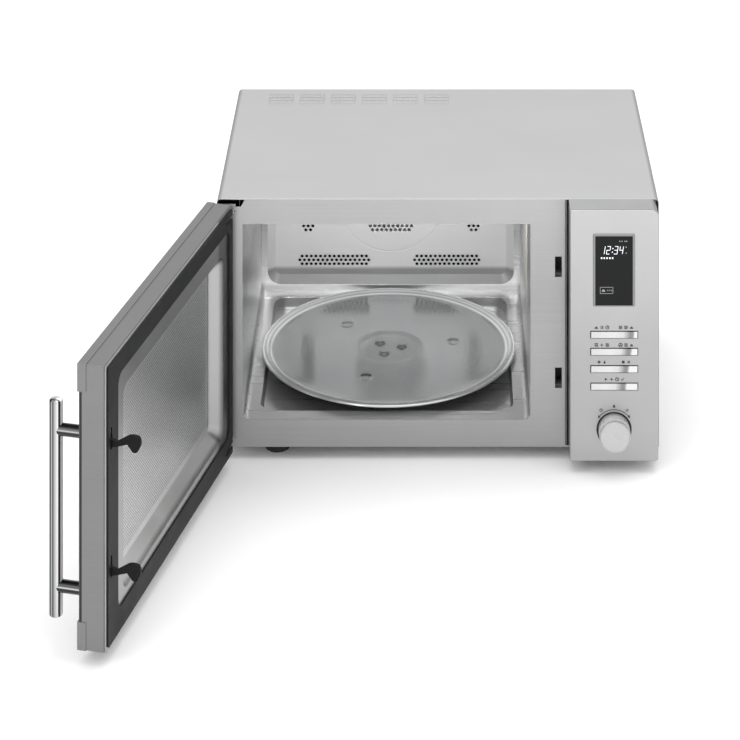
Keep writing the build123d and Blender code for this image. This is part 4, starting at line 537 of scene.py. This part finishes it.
# The housing has painted shade along its rounded right edge, and deep painted shade on the front face seen
# in the knob's well.
HOUSING = moulded(
    "housing_lacquer", tone=0.38, roughness=0.34, tint=(0.99, 1.0, 1.0), metallic=0.7,
    painted_shading=(
        ("X", PANEL_HIGH.x - EDGE, PANEL_HIGH.x - BEND, 1.0, 0.45),
        ("Y", PANEL_LOW.y + 1.5 * MM, PANEL_LOW.y + 2.2 * MM, 0.06, 1.0),
    ),
)
CHAMBER = moulded("chamber_enamel", tone=0.035, roughness=0.6, metallic=0.3, specular=0.3)
CHOKE = moulded(
    "choke_plastic", tone=0.017, roughness=0.55, tint=(0.98, 1.0, 1.02), relief=0.01 * MM, specular=0.16,
)
BLACK_PLASTIC = moulded("black_plastic", tone=0.007, roughness=0.5, specular=0.12)
BRACKET_PLASTIC = moulded("bracket_plastic", tone=0.16, roughness=0.5)
WHITE_PLASTIC = moulded("white_plastic", tone=0.62, roughness=0.45, tint=(1, 1, 0.97))
RUBBER = moulded("foot_rubber", tone=0.02, roughness=0.7)
MICA = moulded("mica", tone=0.55, roughness=0.5, tint=(1.0, 0.97, 0.90), grain=300.0)
IRON = moulded("varnished_iron", tone=0.05, roughness=0.5, tint=(1.0, 0.85, 0.7), grain=400.0)
MOTOR = moulded("plated_motor", tone=0.35, roughness=0.38, grain=300.0, metallic=0.9)
SHEATH = moulded(
    "heater_sheath", tone=0.09, roughness=0.45, tint=(1.0, 0.96, 0.9), grain=1500.0, metallic=0.6,
)
BOARD = moulded("circuit_board", tone=0.12, roughness=0.35, tint=(0.15, 1.0, 0.4))
PRINT = moulded("black_print", tone=0.012, roughness=0.5, relief=0.0)
SMOKED = moulded(
    "display_glass", tone=0.006, roughness=0.06, tint=(1.0, 1.05, 1.1), relief=0.0, specular=0.2,
)
COPPER = wound(
    "copper_winding", roughness=0.35, colour=(0.62, 0.28, 0.13),
    hollow_shade=(0.30, 0.11, 0.05), crest_light=(0.75, 0.36, 0.17),
)
DOOR_GLASS = glassy("door_glass", (0.008, 0.009, 0.010), roughness=0.05, transmission=0.0)
FILM = glassy("screen_film", (0.9, 0.92, 0.92), roughness=0.08, transmission=0.9, alpha=0.12)
PLATE_GLASS = pressed_glass("plate_glass", roughness=0.15, transmission=0.35)
LIT = glowing("lit_segments", (0.80, 0.84, 0.86), strength=0.75)
# The unlit signs get a faint painted glow.
FAINT_PAINTED_GLOW = glowing("dim_segments", (0.32, 0.34, 0.35), strength=0.15)

FINISHES = {
    "outer_cover": STEEL_COVER, "base_plate": ZINC, "feet": RUBBER, "rear_panel": ZINC,
    "rear_fan_cover": ZINC, "case_screws": BRIGHT, "cord_gland": BLACK_PLASTIC,
    "front_frame": STEEL_FRAME, "cavity_liner": STEEL_LINER, "cavity_back_panel": STEEL_BACK,
    "waveguide_cover": MICA, "waveguide": ZINC, "magnetron": ALUMINIUM, "transformer_core": IRON,
    "transformer_windings": COPPER, "capacitor": ALUMINIUM, "cooling_fan_shroud": BLACK_PLASTIC,
    "cooling_fan_motor": MOTOR, "cooling_fan_blade": BLACK_PLASTIC, "convection_chamber": CHAMBER,
    "convection_heater": SHEATH, "convection_motor": MOTOR, "convection_fan": ALUMINIUM,
    "grill_heater": SHEATH, "cavity_lamp": WHITE_PLASTIC, "turntable_motor": MOTOR,
    "turntable_coupler": WHITE_PLASTIC, "glass_turntable": PLATE_GLASS, "roller_ring": WHITE_PLASTIC,
    "roller_wheel_1": WHITE_PLASTIC, "roller_wheel_2": WHITE_PLASTIC, "roller_wheel_3": WHITE_PLASTIC,
    "interlock_bracket": BRACKET_PLASTIC, "door_switches": BLACK_PLASTIC, "hinge_brackets": ZINC,
    "hinge_pins": BRIGHT, "hinge_bushes": WHITE_PLASTIC, "door_frame": STEEL_DOOR,
    "door_glass": DOOR_GLASS, "door_trims": STEEL_DOOR, "door_inner_pan": STEEL_PAN,
    "window_film": FILM, "choke_cover": CHOKE, "latch_key": BLACK_PLASTIC, "latch_spring": BRIGHT,
    "handle_bar": BRIGHT, "handle_posts": BRIGHT, "handle_screws": BRIGHT, "panel_fascia": STEEL_FASCIA,
    "panel_housing": HOUSING, "display_bezel": BEZEL, "display_window": SMOKED, "control_board": BOARD,
    "upper_key": KEY_METAL, "middle_key": KEY_METAL, "lower_key": KEY_METAL, "start_key": KEY_METAL,
    "key_carrier": BLACK_PLASTIC, "knob": KNOB_METAL, "encoder": BLACK_PLASTIC,
}
for node_name, finish in FINISHES.items():
    node = NODES[node_name]
    if not node.material_slots:
        node.data.materials.append(finish)
    for material_slot in node.material_slots:
        material_slot.material = finish


# ------------------------------------------------------------------ replaced and added pieces
PLATE_LUGS = [math.radians(11 + 120 * index) for index in range(3)]
PLATE_THICKEST = 8.3
PLATE_SEGMENTS = 288
RIM_FROM, RIM_STEP = 138, 0.5
# Heights of the plate's two sides over its flat underside, as (radius, height) in millimetres.
PLATE_ABOVE = (
    (0, 3.6), (41.2, 3.6), (42.0, 4.0), (134, 4.0), (140, 4.4), (145, 5.2), (149, 6.6), (151, 7.7),
    (152, 8.2), (153, 8.3), (154, 7.7), (155, 8.0), (156, 8.2), (157, 7.4), (157.5, 6.2),
)
PLATE_BELOW = ((0, 0), (138, 0), (143, 0.3), (148, 1.3), (152, 2.8), (155.5, 4.6), (157, 5.6), (157.5, 6.2))
# Bosses and dimples: distance from the centre, radius, rise of the upper side, rise of the underside.
PLATE_BUMPS = ((16.5, 7.5, 3.0, -4.4), (82.0, 9.5, -1.3, -1.4))
BUMP_FLATNESS, BUMP_SOFTNESS = 1.35, 1.5


def stand_in(name, node, body, mesh, material, place, smooth_angle=35):
    """A piece made in its own coordinates, set in place, and shown instead of a node if one is given."""
    mesh.materials.append(material)
    mesh.shade_smooth()
    mesh.set_sharp_from_angle(angle=math.radians(smooth_angle))
    piece = new_object(name, mesh)
    piece.matrix_world = place
    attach(piece, body)
    if node is not None:
        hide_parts(node)


def handle():
    """Round bar with softened ends, on two round posts that stand out from the glass."""
    low, high = shut_box("handle_bar")
    radius = (high.x - low.x) / 2
    length = high.z - low.z
    edge = 1.4 * MM
    profile = [(0, 0)] + arc((radius - edge, edge), edge, -90, 0, steps=6)
    profile += arc((radius - edge, length - edge), edge, 0, 90, steps=6) + [(0, length)]
    axis = Vector(((low.x + high.x) / 2, (low.y + high.y) / 2, low.z))
    bar_mesh = lathe("bar", profile, segments=96)
    stand_in("bar", "handle_bar", "door", bar_mesh, BAR_METAL, Matrix.Translation(OPEN_DOOR @ axis))

    post_low, post_high = shut_box("handle_posts")
    post_radius = (post_high.x - post_low.x) / 2
    collar = 0.5 * MM
    reach = post_high.y - axis.y
    profile = [(0, 0), (post_radius - collar, 0), (post_radius, collar), (post_radius, reach), (0, reach)]
    levels = {"lower_post": post_low.z + post_radius, "upper_post": post_high.z - post_radius}
    for name, level in levels.items():
        place = OPEN_DOOR @ Matrix.Translation((axis.x, post_high.y, level)) @ Z_TO_FRONT
        post_node = "handle_posts" if name == "lower_post" else None
        stand_in(name, post_node, "door", lathe(name, profile, segments=64), POST_METAL, place)


def knob():
    """Turned knob: a slight taper, a softened shoulder, a fine groove and a flat face."""
    low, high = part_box("knob")
    radius = (high.x - low.x) / 2
    spindle = 3 * MM
    face_radius = radius - 0.15 * MM
    back_y = low.y + KNOB_DEPTH
    shoulder = 0.6 * MM
    groove = face_radius - 1.1 * MM
    groove_depth = 0.35 * MM
    profile = [(0, back_y - high.y), (spindle, back_y - high.y), (spindle, 0), (radius, 0)]
    profile += arc((face_radius - shoulder, KNOB_DEPTH - shoulder), shoulder, 0, 90, steps=6)
    profile += [
        (groove + groove_depth, KNOB_DEPTH), (groove, KNOB_DEPTH - groove_depth),
        (groove - groove_depth, KNOB_DEPTH), (0, KNOB_DEPTH),
    ]
    centre = Vector(((low.x + high.x) / 2, back_y, (low.z + high.z) / 2))
    knob_mesh = lathe("turned_knob", profile, segments=128)
    stand_in("turned_knob", "knob", "knob", knob_mesh, KNOB_METAL, Matrix.Translation(centre) @ Z_TO_FRONT)


def plate_level(radius, angle, above):
    """Height of the turntable's upper or lower surface over its flat underside, in millimetres."""
    table = PLATE_ABOVE if above else PLATE_BELOW
    height = table[-1][1]
    for (near, near_height), (far, far_height) in zip(table, table[1:]):
        if near <= radius <= far:
            share = (radius - near) / (far - near)
            height = near_height + (far_height - near_height) * share
            break
    for turn in PLATE_LUGS:
        for distance, reach, above_bump, below_bump in PLATE_BUMPS:
            bump = above_bump if above else below_bump
            gap = math.hypot(
                radius * math.cos(angle) - distance * math.cos(turn),
                radius * math.sin(angle) - distance * math.sin(turn),
            )
            if gap < reach:
                height += bump * min(1.0, BUMP_FLATNESS * (1 - (gap / reach) ** 2)) ** BUMP_SOFTNESS
    return height


def turntable():
    """Pressed glass plate: ridged rim, three bosses over the coupler and three dimples further out."""
    low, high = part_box("glass_turntable")
    radius = (high.x - low.x) / 2 / MM
    # The rings are close together over the bosses, the dimples and the rim.
    rings = [0.9 * step for step in range(1, 30)] + [30 + 4 * step for step in range(10)]
    rings += [70 + step for step in range(24)] + [96 + 5 * step for step in range(9)]
    rings += [RIM_FROM + RIM_STEP * step for step in range(int((radius - RIM_FROM) / RIM_STEP))] + [radius]
    points = []
    rows = []
    for above, order in ((True, rings), (False, rings[::-1])):
        for ring in order:
            rows.append(range(len(points), len(points) + PLATE_SEGMENTS))
            for step in range(PLATE_SEGMENTS):
                angle = 2 * math.pi * step / PLATE_SEGMENTS
                height = plate_level(ring, angle, above)
                points.append((ring * math.cos(angle) * MM, ring * math.sin(angle) * MM, height * MM))
    faces = [list(rows[0]), list(rows[-1])]
    for row, following in zip(rows, rows[1:]):
        for step in range(PLATE_SEGMENTS):
            ahead = (step + 1) % PLATE_SEGMENTS
            faces.append((row[step], row[ahead], following[ahead], following[step]))
    plate = mesh_from("plate", points, faces)
    centre = Vector(((low.x + high.x) / 2, (low.y + high.y) / 2, high.z - PLATE_THICKEST * MM))
    place = Matrix.Translation(centre)
    stand_in("plate", "glass_turntable", "turntable", plate, PLATE_GLASS, place, smooth_angle=50)


# ------------------------------------------------------------------ marks on the panel
def stroke(points, width):
    """A line of constant width as one quadrilateral for each of its legs."""
    quads = []
    for start, end in zip(points, points[1:]):
        start, end = Vector(start), Vector(end)
        along = end - start
        across = Vector((-along.y, along.x)).normalized() * width / 2
        corners = (start + across, end + across, end - across, start - across)
        quads.append([tuple(corner) for corner in corners])
    return quads


def box_shape(left, low, right, high):
    """A filled rectangle."""
    return [(left, low), (right, low), (right, high), (left, high)]


def circle(centre, radius, width=None, start=0, end=360, steps=24):
    """A disc, or a ring or part of one if a width is given."""
    points = arc(centre, radius, start, end, steps)
    return stroke(points, width) if width else [points[:-1]]


def moved(shapes, offset, size=1.0, turn=0.0):
    """Shapes drawn round the origin, scaled, turned and set in place."""
    result = []
    for shape in shapes:
        result.append([
            (
                offset[0] + size * (u * math.cos(turn) - v * math.sin(turn)),
                offset[1] + size * (u * math.sin(turn) + v * math.cos(turn)),
            )
            for u, v in shape
        ])
    return result


# Signs about two units wide and high. LINE is the width of their lines.
LINE = 0.42
WAVES = [
    quad
    for level in (-0.7, 0.0, 0.7)
    for quad in stroke([(-1 + 0.2 * k, level + 0.22 * math.sin(k * 1.25)) for k in range(11)], LINE)
]
CLOCK = circle((0, 0), 0.95, LINE) + stroke([(0, 0.6), (0, 0), (0.45, 0)], LINE)
DISH = stroke([(-1, -0.6), (1, -0.6)], LINE) + [arc((0, -0.3), 0.8, 0, 180, 12)]
GRILL = stroke([(-1, 0.9), (1, 0.9)], LINE) + [
    quad
    for u in (-0.7, 0.0, 0.7)
    for quad in stroke([(u, 0.5), (u - 0.2, 0), (u + 0.2, -0.4), (u, -0.9)], LINE)
]
FAN = circle((0, 0), 0.25) + [
    quad
    for k in range(3)
    for quad in moved(circle((0, 0.62), 0.36, steps=10), (0, 0), turn=k * 2 * math.pi / 3)
] + circle((0, 0), 1.1, LINE * 0.8)
FLAKE = [
    quad
    for k in range(3)
    for quad in moved(stroke([(0, -1), (0, 1)], LINE), (0, 0), turn=k * math.pi / 3)
]
DROP = [[(0, 1.0), (0.62, -0.25), (0.45, -0.8), (0, -1.0), (-0.45, -0.8), (-0.62, -0.25)]]
STOP = [box_shape(-0.8, -0.8, 0.8, 0.8)]
CROSS = stroke([(-0.75, -0.75), (0.75, 0.75)], LINE) + stroke([(-0.75, 0.75), (0.75, -0.75)], LINE)
PLAY = [[(-0.7, -0.9), (0.9, 0.0), (-0.7, 0.9)]]
PLUS = stroke([(-0.8, 0), (0.8, 0)], LINE) + stroke([(0, -0.8), (0, 0.8)], LINE)
TICK = stroke([(-0.8, 0.0), (-0.2, -0.7), (0.9, 0.8)], LINE)
WEIGHT = [[(-0.95, -0.9), (0.95, -0.9), (0.6, 0.35), (-0.6, 0.35)]] + circle((0, 0.6), 0.35, LINE)
LIST = [
    quad
    for level in (-0.7, 0.0, 0.7)
    for start, end in ((-0.9, -0.6), (-0.3, 0.95))
    for quad in stroke([(start, level), (end, level)], LINE)
]
SEGMENTS = {
    "a": ((0, 2), (1, 2)), "b": ((1, 2), (1, 1)), "c": ((1, 1), (1, 0)), "d": ((0, 0), (1, 0)),
    "e": ((0, 1), (0, 0)), "f": ((0, 2), (0, 1)), "g": ((0, 1), (1, 1)),
}
DIGITS = {"1": "bc", "2": "abged", "3": "abgcd", "4": "fgbc"}
MARK_DEPTH = 0.06 * MM


def mark(name, shapes, node, material):
    """Marks in millimetres of X and Z, laid on the front of a node."""
    face_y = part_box(node)[0].y
    mesh = plates(name, shapes, MARK_DEPTH, lambda u, v, depth: (u * MM, face_y - depth, v * MM))
    mesh.materials.append(material)
    piece = new_object(name, mesh)
    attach(piece, "cabinet")


def key_marks():
    """A row of small signs over each half of the three rocking keys, and one over the start key."""
    left, middle, right = 190.7, 205.2, 218.8
    sign_pitch, sign_size = 6.4, 2.0
    rows = (
        (170.5, ((left, (DISH, LIST, CLOCK)), (right, (WAVES, WAVES, DISH)))),
        (150.0, ((left, (GRILL, PLUS, WAVES)), (right, (FAN, WAVES, DISH)))),
        (130.2, ((left, (FLAKE, DROP)), (right, (STOP, CROSS)))),
        (110.2, ((middle, (PLAY, PLUS, CLOCK, TICK)),)),
    )
    shapes = []
    for level, groups in rows:
        for centre, signs in groups:
            for index, sign in enumerate(signs):
                offset = (index - (len(signs) - 1) / 2) * sign_pitch
                shapes += moved(sign, (centre + offset, level), sign_size)
    mark("key_marks", shapes, "panel_fascia", PRINT)


def knob_marks():
    """An arc with an arrowhead at each end over the knob, and three signs above it."""
    low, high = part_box("knob")
    centre = ((low.x + high.x) / 2 / MM, (low.z + high.z) / 2 / MM)
    radius, line, half_head = 22.9, 0.85, 1.9
    sign_radius, sign_size = 27.0, 1.7
    shapes = circle(centre, radius, line, start=42, end=138, steps=40)
    for end, sign in ((40, 1), (140, -1)):
        tip = math.radians(end - sign * 5)
        base = math.radians(end + sign * 3)
        corners = [(centre[0] + radius * math.cos(tip), centre[1] + radius * math.sin(tip))]
        for reach in (radius - half_head, radius + half_head):
            corners.append((centre[0] + reach * math.cos(base), centre[1] + reach * math.sin(base)))
        shapes.append(corners)
    for sign, direction in ((CLOCK, 124), (WEIGHT, 90), (LIST, 56)):
        turn = math.radians(direction)
        place = (centre[0] + sign_radius * math.cos(turn), centre[1] + sign_radius * math.sin(turn))
        shapes += moved(sign, place, sign_size, turn - math.pi / 2)
    mark("knob_marks", shapes, "panel_fascia", PRINT)


def display_marks():
    """Clock digits, a row of five dots, and a few unlit signs with a faint painted glow behind the smoked
    window.
    """
    width, half, slant, thick = 3.7, 4.4, 0.17, 0.62
    base, colon, colon_radius = 256.0, 202.5, 0.65
    first_dot, dot_pitch, half_dot, dot_low, dot_high = 190.4, 3.2, 0.8, 250.3, 252.1
    shapes = []
    for digit, left in (("1", 189.6), ("2", 195.8), ("3", 204.6), ("4", 210.8)):
        for segment in DIGITS[digit]:
            ends = [(left + u * width + slant * v * half, base + v * half) for u, v in SEGMENTS[segment]]
            shapes += stroke(ends, thick)
    for height in (2.2, 6.4):
        shapes += circle((colon + slant * height, base + height), colon_radius, steps=12)
    for index in range(5):
        centre = first_dot + dot_pitch * index
        shapes.append(box_shape(centre - half_dot, dot_low, centre + half_dot, dot_high))
    mark("lit_marks", shapes, "display_window", LIT)

    box = box_shape(188.8, 210.0, 203.6, 217.3)
    shapes = stroke(box + box[:1], width=0.45) + moved(DISH, (192.6, 213.8), size=2.0)
    for index in range(3):
        shapes += moved(LIST, (197.4 + index * 2.3, 213.7), size=0.8)
    dots = [(x, 270.8) for x in (211.6, 214.2, 217.6, 219.6)] + [(219.0, 264.0), (219.0, 257.1)]
    for place in dots:
        shapes += moved(STOP, place, size=0.75)
    mark("dim_marks", shapes, "display_window", FAINT_PAINTED_GLOW)


handle()
knob()
turntable()
key_marks()
knob_marks()
display_marks()


# ------------------------------------------------------------------ stage, lights and camera
def floor():
    """A wide pale floor."""
    reach = 30.0
    corners = [(-reach, -reach, 0), (reach, -reach, 0), (reach, reach, 0), (-reach, reach, 0)]
    mesh = mesh_from("floor", corners, [(0, 1, 2, 3)])
    mesh.materials.append(Shading("pale_floor", roughness=0.9, colour=(0.97, 0.97, 0.97)).material)
    ground = new_object("floor", mesh)


def soft_box(name, place, target, size, power, spread=math.pi):
    """A rectangular lamp that shines from its place towards its target."""
    lamp = bpy.data.lights.new(name, "AREA")
    lamp.shape = "RECTANGLE"
    lamp.spread = spread
    lamp.size, lamp.size_y = size
    lamp.energy = power
    holder = new_object(name, lamp)
    holder.location = place
    holder.rotation_mode = "QUATERNION"
    holder.rotation_quaternion = (Vector(target) - Vector(place)).to_track_quat("-Z", "Y")


def studio():
    """An even pale surround, brighter overhead than at the horizon."""
    horizon, overhead, brightness = (0.0, 0.75), (0.8, 1.0), 1.12
    world = bpy.data.worlds.new("studio")
    bpy.context.scene.world = world
    world.use_nodes = True
    tree = world.node_tree
    where = tree.nodes.new("ShaderNodeTexCoord")
    split = tree.nodes.new("ShaderNodeSeparateXYZ")
    tree.links.new(where.outputs["Generated"], split.inputs["Vector"])
    sky = grey_ramp(tree, split.outputs["Z"], (horizon, overhead))
    tree.links.new(sky, tree.nodes["Background"].inputs["Color"])
    tree.nodes["Background"].inputs["Strength"].default_value = brightness


def camera():
    """A view camera: its picture plane stands upright while it looks down on the oven.

    The tilt is held by an empty parent, so that any other view is an ordinary one.
    """
    place = Vector((-0.010463, -3.033391, 1.548058))
    sideways_slope = -0.02284
    downward_slope = -0.47562
    into_picture = Vector((sideways_slope, 1, downward_slope))
    upright_lens = 125.475
    data = bpy.data.cameras.new("camera")
    data.sensor_width = 36.0
    data.lens = upright_lens * into_picture.length
    eye = new_object("camera", data)
    stand = new_object("camera_stand", None)
    tilt = Matrix.Translation(place)
    tilt.col[0].xyz = (1, 0, 0)
    tilt.col[1].xyz = (0, 0, 1)
    tilt.col[2].xyz = -into_picture
    eye.parent = stand
    eye.matrix_parent_inverse = tilt
    bpy.context.scene.camera = eye


floor()
studio()
camera()
bpy.context.scene.view_settings.view_transform = "Standard"
soft_box("overhead", place=(0.2, 0.1, 2.6), target=(0, 0, 0), size=(2.6, 2.2), power=30)
soft_box("front_left", place=(-1.9, -2.2, 2.0), target=(0, 0, 0.1), size=(1.6, 1.6), power=18)
cavity_low, cavity_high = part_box("cavity_liner")
cavity_middle = (cavity_low + cavity_high) / 2
soft_box(
    "cavity_fill",
    place=(cavity_middle.x, 0.05, cavity_high.z - 0.02),
    target=(cavity_middle.x, cavity_high.y, cavity_middle.z),
    size=(0.30, 0.03), power=0.45, spread=math.radians(120),
)
